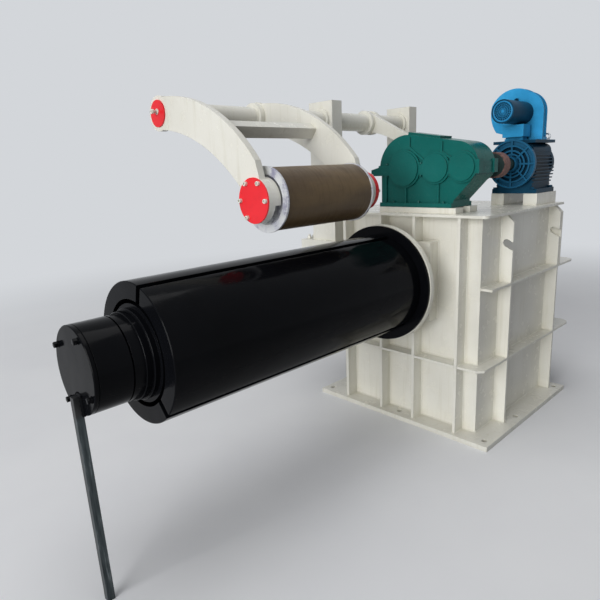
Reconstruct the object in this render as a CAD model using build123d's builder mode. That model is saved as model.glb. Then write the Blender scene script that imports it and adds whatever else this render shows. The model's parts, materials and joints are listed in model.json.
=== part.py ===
from build123d import *
import math
import os

# Strip coiler with a hold-down roll arm. Millimetres, +Z up, floor at z = 0.
# The origin is on the floor at the middle of the base plate; the mandrel runs along -Y.

# Clearances: curved seats and bearings, turning faces, and holes that only let a shaft through
SEAT_FIT = 0.3
RUN_GAP = 5.0
PASS_GAP = 5.0

# Pedestal: a welded box on a base plate, stiffened outside by ribs and two shelves
BASE_W = 1120.0
BASE_D = 1010.0
BASE_T = 25.0
BASE_EDGE = 25.0
BOX_HALF_W = 442.0
BOX_FRONT = -401.0
BOX_REAR = 445.0
WALL_T = 16.0
RIB_T = 16.0
RIB_REACH = 62.5
TOP_Z = 1162.0
TOP_T = 13.0
TOP_OVERHANG = 3.0
TOP_CORNER_R = 25.0
SHELF_T = 12.0
SHELF_LOW_Z = 398.0
SHELF_HIGH_Z = 800.0
SHELF_REAR = 685.0
SHELF_CORNER_R = 60.0
SHELF_CHAMFER = 33.0
OUTER_RIB_X = 361.5
INNER_RIB_X = 107.0
HOOK_Y = (-201.0, 404.5)
HOOK_CHAMFER = 42.0
HOOK_SLOT_W = 38.0
HOOK_SLOT_L = 112.0
HOOK_SLOT_Z = 985.0
HOOK_SLOT_TILT = 28.0
GUSSET_H = 200.0
GUSSET_INSET = 50.0
ANCHOR_R = 14.0
ANCHOR_EDGE_X = 42.0
ANCHOR_EDGE_Y = 56.0
ANCHOR_SIDE_Y = -87.0

# Bearing block on the front wall, its neck and the ring behind the stop disc
AXIS_Z = 813.0
BLOCK_HALF_W = 206.0
BLOCK_HALF_H = 206.0
NECK_R = 215.0
NECK_L = 113.0
RING_R = 303.0
RING_T = 26.0

# Mandrel: drum segments that slide in and out on a long shaft
DISC_R = 298.0
DISC_T = 12.0
DRUM_R = 254.0
DRUM_L = 1356.0
BEVEL_L = 38.0
BEVEL_H = 20.0
SEGMENTS = 3
SEGMENT_T = 62.0
GAP_TURN = 74.0
COLLAPSE = 12.0
GUIDE_R = 22.0
GUIDE_DEPTH = 40.0
GUIDE_INSET = 230.0
SHAFT_R = 150.0
TAIL_R = 95.0
TAIL_OUT = 48.0
TAIL_COVER_R = 130.0
TAIL_COVER_T = 24.0
END_GAP = 8.0
END_RING_R = 246.0
END_RING_T = 22.0
COLLAR_R = 207.0
COLLAR_T = 15.0
NOSE_R = 80.0
CAP_R = 150.0
CAP_L = 128.0
CAP_WALL = 20.0
CAP_EDGE = 3.0
CAP_PLATE_T = 14.0
CAP_GROOVE = 3.0
BAR_W = 26.0
BAR_TOP_X = 13.0
BAR_FOOT_X = 61.0
BAR_DROP = 80.0

# Hold-down arm: two posts on a side bracket carry a shaft with two curved arms
POST_OUT = 115.5
PIVOT_Z = 1686.0
POST_W = 188.0
POST_T = 85.0
POST_TOP = 1795.0
POST_FOOT_Z = 968.0
POST_Y = (-380.0, 405.0)
POST_RING_R = 71.0
POST_RING_T = 15.0
FOOT_T = 45.0
FOOT_OUT = 296.5
FOOT_GAP = 11.5
FOOT_SIDE = 25.0
BRACKET_T = 30.0
BRACKET_DROP = 420.0
BRACKET_END = 25.0
BRACKET_RIB_Y = (-330.0, 98.0, 348.0)
PIVOT_R = 54.0
PIVOT_OUT = 20.0
ARM_T = 30.0
ARM_HUB_R = 79.0
ARM_END_R = 90.0
ARM_CROWN = 188.0
ARM_BELLY = 31.0
ARM_BELLY_START = 60.0
SHOULDER_BACK = 64.0
SHOULDER_H = 140.0
ROLL_X = 39.0
ROLL_DROP = 390.0
BOSS_GAP = 16.0
BOSS_CUT = 20.0
COLLAR_ARM_R = 75.0
COLLAR_ARM_T = 30.0
PIVOT_COVER_R = 60.5
ROLL_COVER_R = 89.0
COVER_PLATE_T = 6.0
BEAM_ALONG = 403.0
BEAM_ACROSS = 122.0
BEAM_TURN = -35.0
BEAM_W = 46.0
BEAM_H = 55.0
BEAM_WALL = 8.0
LEVER_Y = 52.0
LEVER_T = 34.0
LEVER_X = 310.0
LEVER_DROP = 138.0
LEVER_HUB_R = 68.0
LEVER_WAIST = 22.0
LEVER_EYE_R = 42.0
LEVER_BORE_R = 16.0

# Hold-down roll: rubber sleeve on a core, a dished disc at each end, journals in the arms
ROLL_FRONT = -1408.0
ROLL_L = 520.0
ROLL_R = 126.0
ROLL_CORE_R = 104.0
ROLL_DISC_R = 131.0
ROLL_DISC_T = 8.0
DISH_R = 100.0
DISH_FLOOR_R = 84.0
DISH_DEPTH = 17.0
ROLL_FRONT_GAP = 27.0
ROLL_REAR_GAP = 8.0
JOURNAL_R = 36.0

# Reducer on the top deck, with its three shafts in one row
SEAT_T = 28.0
SEAT_LEFT = -145.0
SEAT_RIGHT = 314.0
SEAT_EDGE = 25.0
SEAT_BAR_W = 75.0
CASE_FRONT = -405.0
CASE_D = 165.0
CASE_FOOT_RIGHT = 285.0
CASE_CENTRE_H = 196.0
CASE_SLANT_Z = 34.0
CASE_SHOULDER = 40.0
FOOT_FLANGE_T = 22.0
FOOT_FLANGE_OUT = 18.0
FLANGE_T = 22.0
FLANGE_LOW_T = 32.0
FLANGE_OUT = 12.0
EAR_L = 50.0
EAR_IN = 36.0
LUG_W = 36.0
LUG_D = 37.0
LUG_UP = 34.0
LUG_OUT = 8.0
SHAFT_STEP = 188.0
FAST_STEP = 146.0
LID_BIG_X = 10.0
LID_BIG_R = 172.0
LID_SMALL_X = 290.0
LID_SMALL_R = 124.0
COVER_R = (88.0, 70.0, 66.0)
COVER_OUT = 8.0
HOUSING_OUT = 26.0
BEARING_EDGE = 10.0
CASE_RIB_T = 12.0
CASE_RIB_OUT = 9.0
CASE_RIB_X = (-117.0, 10.0, 203.0)
LID_RIBS = ((30.0, 88.0, 64.0), (218.0, 56.0, 28.0))
LID_RIB_DOWN = 66.0
HATCH_X = 95.0
HATCH_L = 190.0
HATCH_W = 110.0
HATCH_T = 8.0
HATCH_SINK = 12.0
HATCH_RISE = 3.0

# Drive motor with its cooling blower, on the fast shaft behind the reducer
MOTOR_FRONT = 110.0
MOTOR_L = 315.0
MOTOR_SHAFT_H = 160.0
MOTOR_SHAFT_R = 28.0
MOTOR_FOOT_W = 250.0
MOTOR_FOOT_T = 24.0
FRAME_HALF_W = 98.0
FRAME_TOP = 108.0
FRAME_CORNER_R = 40.0
SHIELD_T = 28.0
FIN_COUNT = 11
FIN_STEP = 18.0
FIN_T = 7.0
FIN_DROP = 27.0
FIN_TIP = 119.0
FIN_ARC_R = 224.0
GRILLE_R = 129.0
GRILLE_T = 20.0
GRILLE_RING_R = (100.0, 75.0, 56.0)
GRILLE_BAR_W = 9.0
GRILLE_BAR_T = 8.0
GRILLE_LAP = 10.0
GRILLE_HUB_R = 42.0
GRILLE_HUB_OUT = 30.0
SPOKES = 8
TERMINAL_W = 114.0
TERMINAL_D = 86.0
TERMINAL_H = 64.0
TERMINAL_IN = 2.0
TERMINAL_NECK_W = 92.0
TERMINAL_NECK_D = 54.0
TERMINAL_NECK_H = 18.0
SEAT_BLOCK_W = 74.0
SEAT_BLOCK_STEP = 184.0
SEAT_BLOCK_IN = 50.0
DRUM_COUPLING_R = 66.0
DRUM_COUPLING_L = 58.0
COUPLING_BACK = 150.0
SADDLE_W = 232.0
SADDLE_T = 16.0
SADDLE_IN = 2.0
SADDLE_L = 266.0
BLOWER_H = 145.0
BLOWER_T = 50.0
BLOWER_FRONT = 220.0
SCROLL_R = 108.0
SCROLL_GROWN_R = 178.0
SCROLL_END_R = 166.0
SCROLL_TURNS = (72.0, 163.0, 212.0)
SCROLL_RIM = 6.0
SCROLL_RIM_T = 5.0
OUTLET_W = 190.0
OUTLET_H = 40.0
OUTLET_FLANGE = 8.0
OUTLET_FLANGE_T = 14.0
FAN_MOTOR_R = 60.0
FAN_MOTOR_L = 240.0
FAN_RING_W = 7.0
FAN_RING_T = 8.0

# Places that follow from the sizes above
RIB_HALF_W = BOX_HALF_W + RIB_REACH
ANCHOR_DX = BASE_W - 2 * ANCHOR_EDGE_X
ANCHOR_DY = BASE_D - 2 * ANCHOR_EDGE_Y
RIB_FRONT = -BASE_D / 2 + BASE_EDGE
DECK_Z = TOP_Z - TOP_T
FRONT_RIB_X = (-OUTER_RIB_X, -INNER_RIB_X, INNER_RIB_X, OUTER_RIB_X)
RING_REAR = RIB_FRONT - NECK_L
RING_FRONT = RING_REAR - RING_T
DISC_FRONT = RING_FRONT - RUN_GAP - DISC_T
DRUM_REAR = DISC_FRONT - RUN_GAP
DRUM_FRONT = DRUM_REAR - DRUM_L
END_RING_REAR = DRUM_FRONT - BEVEL_L - END_GAP
END_RING_FRONT = END_RING_REAR - END_RING_T
COLLAR_FRONT = END_RING_FRONT - COLLAR_T
CAP_REAR = COLLAR_FRONT - RUN_GAP
CAP_FRONT = CAP_REAR - CAP_L
TAIL_END = BOX_REAR + TAIL_OUT
SECTOR = math.pi / SEGMENTS
SEGMENT_GAP = 2 * COLLAPSE * math.sin(SECTOR) + RUN_GAP
GUIDE_Y = (DRUM_REAR - GUIDE_INSET, DRUM_FRONT + GUIDE_INSET)
BRACKET_Z = POST_FOOT_Z - FOOT_T - BRACKET_T
PIVOT_X = -RIB_HALF_W - POST_OUT
FOOT_LEFT = -RIB_HALF_W - FOOT_OUT
FOOT_RIGHT = -RIB_HALF_W - FOOT_GAP
ROLL_DX = ROLL_X - PIVOT_X
ARM_L = math.hypot(ROLL_DX, ROLL_DROP)
ROLL_Z = PIVOT_Z - ROLL_DROP
FRONT_ARM_REAR = ROLL_FRONT - ROLL_FRONT_GAP
BOSS_T = ROLL_FRONT_GAP + DISH_DEPTH - BOSS_GAP
ARM_FRONT = FRONT_ARM_REAR - ARM_T
REAR_ARM_FRONT = ROLL_FRONT + ROLL_L + ROLL_REAR_GAP
REAR_ARM_REAR = REAR_ARM_FRONT + ARM_T
CASE_REAR = CASE_FRONT + CASE_D
GEAR_Z = TOP_Z + SEAT_T + CASE_CENTRE_H
GEAR_X = (0.0, SHAFT_STEP, SHAFT_STEP + FAST_STEP)
FAST_X = GEAR_X[2]
FLANGE_LEFT = LID_BIG_X - LID_BIG_R
FLANGE_RIGHT = LID_SMALL_X + LID_SMALL_R
CASE_LEFT = FLANGE_LEFT + FLANGE_OUT
CASE_RIGHT = FLANGE_RIGHT - FLANGE_OUT
CASE_MIDDLE = (FLANGE_LEFT + FLANGE_RIGHT) / 2
CASE_MIDDLE_Y = (CASE_FRONT + CASE_REAR) / 2
LUG_X = FLANGE_RIGHT + LUG_OUT - LUG_W / 2
LUG_Y = (CASE_FRONT - FLANGE_OUT + LUG_D / 2, CASE_REAR + FLANGE_OUT - LUG_D / 2)
LID_SLOPE = math.asin((LID_BIG_R - LID_SMALL_R) / (LID_SMALL_X - LID_BIG_X))
MOTOR_REAR = MOTOR_FRONT + MOTOR_L
MOTOR_FOOT_Z = GEAR_Z - MOTOR_SHAFT_H
SADDLE_Z = GEAR_Z + FRAME_TOP + SADDLE_T
SADDLE_FRONT = MOTOR_FRONT + GRILLE_T + SADDLE_IN
BLOWER_Z = SADDLE_Z + BLOWER_H
OUTLET_RIGHT = FAST_X + SCROLL_R
OUTLET_LEFT = OUTLET_RIGHT - OUTLET_W
BLOWER_REAR = BLOWER_FRONT + BLOWER_T

os.makedirs("parts", exist_ok=True)


def save(part, name):
    part.label = name
    export_step(part, f"parts/{name}.step")


def y_plane(y, x=0.0, z=0.0):
    """Sketch plane facing the free end: local x is +X, local y is +Z, extrusion goes to -Y."""
    return Plane(origin=(x, y, z), x_dir=(1, 0, 0), z_dir=(0, -1, 0))


# Base plate with its anchor holes: one at each corner, one at the middle of the front and of each side
with BuildPart() as base_plate:
    with BuildSketch():
        Rectangle(BASE_W, BASE_D)
        with GridLocations(ANCHOR_DX, ANCHOR_DY, 2, 2):
            Circle(ANCHOR_R, mode=Mode.SUBTRACT)
        with Locations((0, -ANCHOR_DY / 2), (-ANCHOR_DX / 2, ANCHOR_SIDE_Y), (ANCHOR_DX / 2, ANCHOR_SIDE_Y)):
            Circle(ANCHOR_R, mode=Mode.SUBTRACT)
    extrude(amount=BASE_T)
save(base_plate.part, "base_plate")

# Front wall with the hole for the mandrel shaft
with BuildPart() as front_wall:
    with BuildSketch(y_plane(BOX_FRONT + WALL_T)):
        with Locations((0, (BASE_T + DECK_Z) / 2)):
            Rectangle(2 * BOX_HALF_W, DECK_Z - BASE_T)
        with Locations((0, AXIS_Z)):
            Circle(SHAFT_R + PASS_GAP, mode=Mode.SUBTRACT)
    extrude(amount=WALL_T)
save(front_wall.part, "front_wall")

# Rear wall: its upper half reaches out to the ribs, with cut corners under the top deck
with BuildPart() as rear_wall:
    with BuildSketch(y_plane(BOX_REAR)):
        with Locations((0, (BASE_T + DECK_Z) / 2)):
            Rectangle(2 * BOX_HALF_W, DECK_Z - BASE_T)
        with BuildSketch() as wing_sk:
            with Locations((0, (SHELF_HIGH_Z + DECK_Z) / 2)):
                Rectangle(2 * RIB_HALF_W, DECK_Z - SHELF_HIGH_Z)
            chamfer(wing_sk.vertices().group_by(Axis.Y)[-1], HOOK_CHAMFER)
        with Locations((0, AXIS_Z)):
            Circle(TAIL_R + PASS_GAP, mode=Mode.SUBTRACT)
    extrude(amount=WALL_T)
save(rear_wall.part, "rear_wall")

# Side walls between the front and rear walls
with BuildPart() as side_walls:
    with BuildSketch(Plane.XY.offset(BASE_T)):
        for x in (-BOX_HALF_W + WALL_T / 2, BOX_HALF_W - WALL_T / 2):
            with Locations((x, (BOX_FRONT + BOX_REAR) / 2)):
                Rectangle(WALL_T, BOX_REAR - BOX_FRONT - 2 * WALL_T)
    extrude(amount=DECK_Z - BASE_T)
save(side_walls.part, "side_walls")

# Top deck, with rounded corners just past the front ribs
with BuildPart() as top_deck:
    with BuildSketch(Plane.XY.offset(DECK_Z)) as deck_sk:
        with Locations((0, (RIB_FRONT - TOP_OVERHANG + BOX_REAR) / 2)):
            Rectangle(2 * RIB_HALF_W, BOX_REAR - RIB_FRONT + TOP_OVERHANG)
        fillet(deck_sk.vertices().group_by(Axis.Y)[0], TOP_CORNER_R)
    extrude(amount=TOP_T)
save(top_deck.part, "top_deck")

# Lower shelf: a ring round the whole box, with rounded rear corners
with BuildPart() as lower_shelf:
    with BuildSketch(Plane.XY.offset(SHELF_LOW_Z - SHELF_T)) as shelf_sk:
        with Locations((0, (RIB_FRONT + SHELF_REAR) / 2)):
            Rectangle(2 * RIB_HALF_W, SHELF_REAR - RIB_FRONT)
        fillet(shelf_sk.vertices().group_by(Axis.Y)[-1], SHELF_CORNER_R)
        chamfer(shelf_sk.vertices().group_by(Axis.Y)[0], SHELF_CHAMFER)
        with Locations((0, (BOX_FRONT + BOX_REAR) / 2)):
            Rectangle(2 * BOX_HALF_W, BOX_REAR - BOX_FRONT, mode=Mode.SUBTRACT)
    extrude(amount=SHELF_T)
save(lower_shelf.part, "lower_shelf")

# Upper shelf: runs along both sides and the rear, cut out round the tail cover
with BuildPart() as upper_shelf:
    with BuildSketch(Plane.XY.offset(SHELF_HIGH_Z - SHELF_T)) as shelf_sk:
        with Locations((0, (BOX_FRONT + SHELF_REAR) / 2)):
            Rectangle(2 * RIB_HALF_W, SHELF_REAR - BOX_FRONT)
        fillet(shelf_sk.vertices().group_by(Axis.Y)[-1], SHELF_CORNER_R)
        with Locations((0, (BOX_FRONT + BOX_REAR) / 2)):
            Rectangle(2 * BOX_HALF_W, BOX_REAR - BOX_FRONT, mode=Mode.SUBTRACT)
        with Locations((0, BOX_REAR)):
            Rectangle(
                2 * (TAIL_COVER_R + PASS_GAP),
                2 * (TAIL_OUT + PASS_GAP),
                mode=Mode.SUBTRACT,
            )
    extrude(amount=SHELF_T)
save(upper_shelf.part, "upper_shelf")

# Round cover of the tail bearing on the rear wall
with BuildPart() as tail_cover:
    with BuildSketch(y_plane(BOX_REAR + TAIL_COVER_T)):
        with Locations((0, AXIS_Z)):
            Circle(TAIL_COVER_R)
            Circle(TAIL_R + SEAT_FIT, mode=Mode.SUBTRACT)
    extrude(amount=TAIL_COVER_T)
save(tail_cover.part, "tail_cover")

# Front ribs: four uprights in two storeys, the middle pair broken by the bearing block
with BuildPart() as front_ribs:
    for x in FRONT_RIB_X:
        spans = [(BASE_T, SHELF_LOW_Z - SHELF_T), (SHELF_LOW_Z, DECK_Z)]
        if abs(x) < BLOCK_HALF_W + RIB_T / 2:
            spans = [
                (BASE_T, SHELF_LOW_Z - SHELF_T),
                (SHELF_LOW_Z, AXIS_Z - BLOCK_HALF_H),
                (AXIS_Z + BLOCK_HALF_H, DECK_Z),
            ]
        for low, high in spans:
            with BuildSketch(Plane.XY.offset(low)):
                with Locations((x, (RIB_FRONT + BOX_FRONT) / 2)):
                    Rectangle(RIB_T, BOX_FRONT - RIB_FRONT)
            extrude(amount=high - low)
save(front_ribs.part, "front_ribs")

# Side ribs: lifting-hook plates with a slanted slot and a cut top corner
with BuildPart() as hook_ribs:
    for side in (-1, 1):
        middle = side * (BOX_HALF_W + RIB_HALF_W) / 2
        for y in HOOK_Y:
            for low, high in ((BASE_T, SHELF_LOW_Z - SHELF_T), (SHELF_LOW_Z, SHELF_HIGH_Z - SHELF_T)):
                with BuildSketch(y_plane(y + RIB_T)):
                    with Locations((middle, (low + high) / 2)):
                        Rectangle(RIB_REACH, high - low)
                extrude(amount=RIB_T)
            with BuildSketch(y_plane(y + RIB_T)) as hook_sk:
                with Locations((middle, (SHELF_HIGH_Z + DECK_Z) / 2)):
                    Rectangle(RIB_REACH, DECK_Z - SHELF_HIGH_Z)
                outer_top = hook_sk.vertices().group_by(Axis.Y)[-1].sort_by(Axis.X)[0 if side < 0 else -1]
                chamfer(outer_top, HOOK_CHAMFER)
                with Locations(Location((side * RIB_HALF_W, HOOK_SLOT_Z), -side * HOOK_SLOT_TILT)):
                    SlotOverall(HOOK_SLOT_L, HOOK_SLOT_W, mode=Mode.SUBTRACT)
            extrude(amount=RIB_T)
save(hook_ribs.part, "hook_ribs")

# Rear gussets under both shelves
with BuildPart() as rear_gussets:
    for x in (-OUTER_RIB_X, OUTER_RIB_X):
        for z in (SHELF_LOW_Z - SHELF_T, SHELF_HIGH_Z - SHELF_T):
            with BuildSketch(Plane.YZ.offset(x - RIB_T / 2)):
                with BuildLine():
                    Polyline(
                        (BOX_REAR, z),
                        (SHELF_REAR - GUSSET_INSET, z),
                        (BOX_REAR, z - GUSSET_H),
                        close=True,
                    )
                make_face()
            extrude(amount=RIB_T)
save(rear_gussets.part, "rear_gussets")

# Bearing block with its round neck, bored for the shaft
with BuildPart() as bearing_block:
    with BuildSketch(y_plane(BOX_FRONT)):
        with Locations((0, AXIS_Z)):
            Rectangle(2 * BLOCK_HALF_W, 2 * BLOCK_HALF_H)
    extrude(amount=BOX_FRONT - RIB_FRONT)
    with BuildSketch(y_plane(RIB_FRONT)):
        with Locations((0, AXIS_Z)):
            Circle(NECK_R)
    extrude(amount=NECK_L)
    with BuildSketch(y_plane(BOX_FRONT)):
        with Locations((0, AXIS_Z)):
            Circle(SHAFT_R + SEAT_FIT)
    extrude(amount=BOX_FRONT - RING_REAR, mode=Mode.SUBTRACT)
save(bearing_block.part, "bearing_block")

# Ring on the neck, behind the stop disc
with BuildPart() as bearing_ring:
    with BuildSketch(y_plane(RING_REAR)):
        with Locations((0, AXIS_Z)):
            Circle(RING_R)
            Circle(SHAFT_R + PASS_GAP, mode=Mode.SUBTRACT)
    extrude(amount=RING_T)
save(bearing_ring.part, "bearing_ring")


# Guide pins of the drum segments and their bores in the shaft
def guide_plane(n, y, radius):
    """Plane square to the middle of segment n, facing outward, at a radius from the axis."""
    turn = math.radians(GAP_TURN) - SECTOR * (2 * n + 1)
    direction = (math.cos(turn), 0, math.sin(turn))
    return Plane(
        origin=(radius * direction[0], y, AXIS_Z + radius * direction[2]),
        x_dir=(0, 1, 0),
        z_dir=direction,
    )


# Mandrel shaft: turned in steps from nose to tail, bored for the guide pins
with BuildPart() as mandrel_shaft:
    with BuildSketch(Plane.YZ):
        with BuildLine():
            Polyline(
                (CAP_FRONT + CAP_WALL + RUN_GAP, AXIS_Z),
                (CAP_FRONT + CAP_WALL + RUN_GAP, AXIS_Z + NOSE_R),
                (COLLAR_FRONT, AXIS_Z + NOSE_R),
                (COLLAR_FRONT, AXIS_Z + SHAFT_R),
                (BOX_FRONT + WALL_T, AXIS_Z + SHAFT_R),
                (BOX_FRONT + WALL_T, AXIS_Z + TAIL_R),
                (TAIL_END, AXIS_Z + TAIL_R),
                (TAIL_END, AXIS_Z),
                close=True,
            )
        make_face()
    revolve(axis=Axis((0, 0, AXIS_Z), (0, 1, 0)), revolution_arc=360)
    for n in range(SEGMENTS):
        for y in GUIDE_Y:
            with BuildSketch(guide_plane(n, y, SHAFT_R - GUIDE_DEPTH - COLLAPSE - RUN_GAP)):
                Circle(GUIDE_R + SEAT_FIT)
            extrude(amount=GUIDE_DEPTH + COLLAPSE + 2 * RUN_GAP, mode=Mode.SUBTRACT)
save(mandrel_shaft.part, "mandrel_shaft")

# Coil stop disc at the pedestal end
with BuildPart() as stop_disc:
    with BuildSketch(y_plane(DISC_FRONT + DISC_T)):
        with Locations((0, AXIS_Z)):
            Circle(DISC_R)
            Circle(SHAFT_R + SEAT_FIT, mode=Mode.SUBTRACT)
    extrude(amount=DISC_T)
save(stop_disc.part, "stop_disc")

# End ring with its collar at the free end
with BuildPart() as end_ring:
    with BuildSketch(Plane.YZ):
        with BuildLine():
            Polyline(
                (END_RING_REAR, AXIS_Z + SHAFT_R + SEAT_FIT),
                (END_RING_REAR, AXIS_Z + END_RING_R),
                (END_RING_FRONT, AXIS_Z + END_RING_R),
                (END_RING_FRONT, AXIS_Z + COLLAR_R),
                (COLLAR_FRONT, AXIS_Z + COLLAR_R),
                (COLLAR_FRONT, AXIS_Z + SHAFT_R + SEAT_FIT),
                close=True,
            )
        make_face()
    revolve(axis=Axis((0, 0, AXIS_Z), (0, 1, 0)), revolution_arc=360)
save(end_ring.part, "end_ring")

# Drum segments: shells with a bevelled free end, straight gaps between neighbours and guide pins
for n in range(SEGMENTS):
    turn = math.radians(GAP_TURN) - SECTOR * (2 * n + 1)
    apex = Vector(math.cos(turn), math.sin(turn)) * (SEGMENT_GAP / 2 / math.sin(SECTOR))
    sides = [Vector(math.cos(turn + a), math.sin(turn + a)) * 4 * DRUM_R for a in (SECTOR, -SECTOR)]
    with BuildPart() as segment:
        with BuildSketch(Plane.YZ):
            with BuildLine():
                Polyline(
                    (DRUM_REAR, AXIS_Z + DRUM_R - SEGMENT_T),
                    (DRUM_REAR, AXIS_Z + DRUM_R),
                    (DRUM_FRONT, AXIS_Z + DRUM_R),
                    (DRUM_FRONT - BEVEL_L, AXIS_Z + DRUM_R - BEVEL_H),
                    (DRUM_FRONT - BEVEL_L, AXIS_Z + DRUM_R - SEGMENT_T),
                    close=True,
                )
            make_face()
        revolve(axis=Axis((0, 0, AXIS_Z), (0, 1, 0)), revolution_arc=360)
        with BuildSketch(y_plane(DRUM_REAR, z=AXIS_Z)):
            with BuildLine():
                Polyline(apex, apex + sides[0], apex + sides[1], close=True)
            make_face()
        extrude(amount=DRUM_L + BEVEL_L, mode=Mode.INTERSECT)
        for y in GUIDE_Y:
            with BuildSketch(guide_plane(n, y, SHAFT_R - GUIDE_DEPTH)):
                Circle(GUIDE_R)
            extrude(amount=DRUM_R - SEGMENT_T / 2 - SHAFT_R + GUIDE_DEPTH)
    save(segment.part, f"drum_segment_{n + 1}")

# End cap on the nose and the steel bar that keeps it from turning
with BuildPart() as end_cap:
    with BuildSketch(Plane.YZ):
        with BuildLine():
            Polyline(
                (CAP_FRONT, AXIS_Z),
                (CAP_FRONT, AXIS_Z + CAP_R - CAP_EDGE),
                (CAP_FRONT + CAP_EDGE, AXIS_Z + CAP_R),
                (CAP_FRONT + CAP_PLATE_T, AXIS_Z + CAP_R),
                (CAP_FRONT + CAP_PLATE_T + CAP_GROOVE / 2, AXIS_Z + CAP_R - CAP_GROOVE),
                (CAP_FRONT + CAP_PLATE_T + CAP_GROOVE, AXIS_Z + CAP_R),
                (CAP_REAR, AXIS_Z + CAP_R),
                (CAP_REAR, AXIS_Z + NOSE_R + SEAT_FIT),
                (CAP_FRONT + CAP_WALL, AXIS_Z + NOSE_R + SEAT_FIT),
                (CAP_FRONT + CAP_WALL, AXIS_Z),
                close=True,
            )
        make_face()
    revolve(axis=Axis((0, 0, AXIS_Z), (0, 1, 0)), revolution_arc=360)
save(end_cap.part, "end_cap")

with BuildPart() as floor_bar:
    with BuildSketch(y_plane(CAP_FRONT)):
        with BuildLine():
            Polyline(
                (BAR_TOP_X - BAR_W / 2, AXIS_Z - BAR_DROP),
                (BAR_TOP_X + BAR_W / 2, AXIS_Z - BAR_DROP),
                (BAR_FOOT_X + BAR_W / 2, 0),
                (BAR_FOOT_X - BAR_W / 2, 0),
                close=True,
            )
        make_face()
    extrude(amount=BAR_W)
save(floor_bar.part, "floor_bar")

# Side bracket for the posts: seat plate with gussets on the left wall
with BuildPart() as post_bracket:
    with BuildSketch(Plane.XY.offset(BRACKET_Z)):
        with Locations(((FOOT_LEFT - RIB_HALF_W) / 2, (POST_Y[0] + POST_Y[1] + POST_T) / 2)):
            Rectangle(-FOOT_LEFT - RIB_HALF_W, POST_Y[1] - POST_Y[0] + POST_T + 2 * FOOT_SIDE)
    extrude(amount=BRACKET_T)
    for y in BRACKET_RIB_Y:
        with BuildSketch(y_plane(y)):
            with BuildLine():
                Polyline(
                    (FOOT_LEFT + BRACKET_END, BRACKET_Z),
                    (-BOX_HALF_W, BRACKET_Z),
                    (-BOX_HALF_W, SHELF_HIGH_Z),
                    (-RIB_HALF_W, SHELF_HIGH_Z),
                    (-RIB_HALF_W, BRACKET_Z - BRACKET_DROP),
                    close=True,
                )
            make_face()
        extrude(amount=RIB_T)
save(post_bracket.part, "post_bracket")

# Posts with their foot flanges, bored for the pivot shaft, and a bearing ring on the front face
for y, name in zip(POST_Y, ("front_post", "rear_post")):
    with BuildPart() as post:
        with BuildSketch(Plane.XY.offset(POST_FOOT_Z)):
            with Locations((PIVOT_X, y + POST_T / 2)):
                Rectangle(POST_W, POST_T)
        extrude(amount=POST_TOP - POST_FOOT_Z)
        with BuildSketch(Plane.XY.offset(POST_FOOT_Z - FOOT_T)):
            with Locations(((FOOT_LEFT + FOOT_RIGHT) / 2, y + POST_T / 2)):
                Rectangle(FOOT_RIGHT - FOOT_LEFT, POST_T + 2 * FOOT_SIDE)
        extrude(amount=FOOT_T)
        with BuildSketch(y_plane(y, PIVOT_X, PIVOT_Z)):
            Circle(POST_RING_R)
        extrude(amount=POST_RING_T)
        with BuildSketch(y_plane(y + POST_T, PIVOT_X, PIVOT_Z)):
            Circle(PIVOT_R + SEAT_FIT)
        extrude(amount=POST_T + POST_RING_T, mode=Mode.SUBTRACT)
    save(post.part, name)

# Pivot shaft through both posts and both arms
with BuildPart() as pivot_shaft:
    with BuildSketch(y_plane(POST_Y[1] + POST_T + PIVOT_OUT, PIVOT_X, PIVOT_Z)):
        Circle(PIVOT_R)
    extrude(amount=POST_Y[1] + POST_T + PIVOT_OUT - ARM_FRONT)
save(pivot_shaft.part, "pivot_shaft")


def arm_point(along, across):
    """Point in the arm's plane: along the line from pivot to roll, and square to it, upward."""
    cos, sin = ROLL_DX / ARM_L, ROLL_DROP / ARM_L
    return (along * cos + across * sin, -along * sin + across * cos)


def arm_plate(y):
    """Curved arm plate with its rear face at y, from the pivot hub to the roll end."""
    hub_across = math.sqrt(ARM_HUB_R**2 - ARM_BELLY_START**2)
    with BuildPart() as plate:
        with BuildSketch(y_plane(y, PIVOT_X, PIVOT_Z)):
            with BuildLine():
                outer = ThreePointArc(
                    arm_point(0, ARM_HUB_R),
                    arm_point(ARM_L / 2, ARM_CROWN),
                    arm_point(ARM_L - SHOULDER_BACK, SHOULDER_H),
                )
                Line(outer @ 1, arm_point(ARM_L + ARM_END_R, 0))
                Line(arm_point(ARM_L + ARM_END_R, 0), arm_point(ARM_L - ARM_END_R, 0))
                ThreePointArc(
                    arm_point(ARM_L - ARM_END_R, 0),
                    arm_point(ARM_L / 2, ARM_BELLY),
                    arm_point(ARM_BELLY_START, -hub_across),
                )
                Polyline(arm_point(ARM_BELLY_START, -hub_across), (0, 0), outer @ 0)
            make_face()
            Circle(ARM_HUB_R)
            with Locations(arm_point(ARM_L, 0)):
                Circle(ARM_END_R)
                Circle(JOURNAL_R + SEAT_FIT, mode=Mode.SUBTRACT)
            Circle(PIVOT_R + SEAT_FIT, mode=Mode.SUBTRACT)
        extrude(amount=ARM_T)
    return plate.part


# Front arm with the bearing housing of the roll on its rear face, cut flat under the journal
with BuildPart() as front_arm:
    add(arm_plate(FRONT_ARM_REAR))
    with BuildSketch(y_plane(FRONT_ARM_REAR + BOSS_T, ROLL_X, ROLL_Z)):
        Circle(ARM_END_R)
        with Locations((0, -BOSS_CUT)):
            Rectangle(
                2 * ARM_END_R,
                2 * ARM_END_R,
                align=(Align.CENTER, Align.MIN),
                mode=Mode.INTERSECT,
            )
        Circle(JOURNAL_R + SEAT_FIT, mode=Mode.SUBTRACT)
    extrude(amount=BOSS_T)
save(front_arm.part, "front_arm")

# Rear arm
save(arm_plate(REAR_ARM_REAR), "rear_arm")

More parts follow.
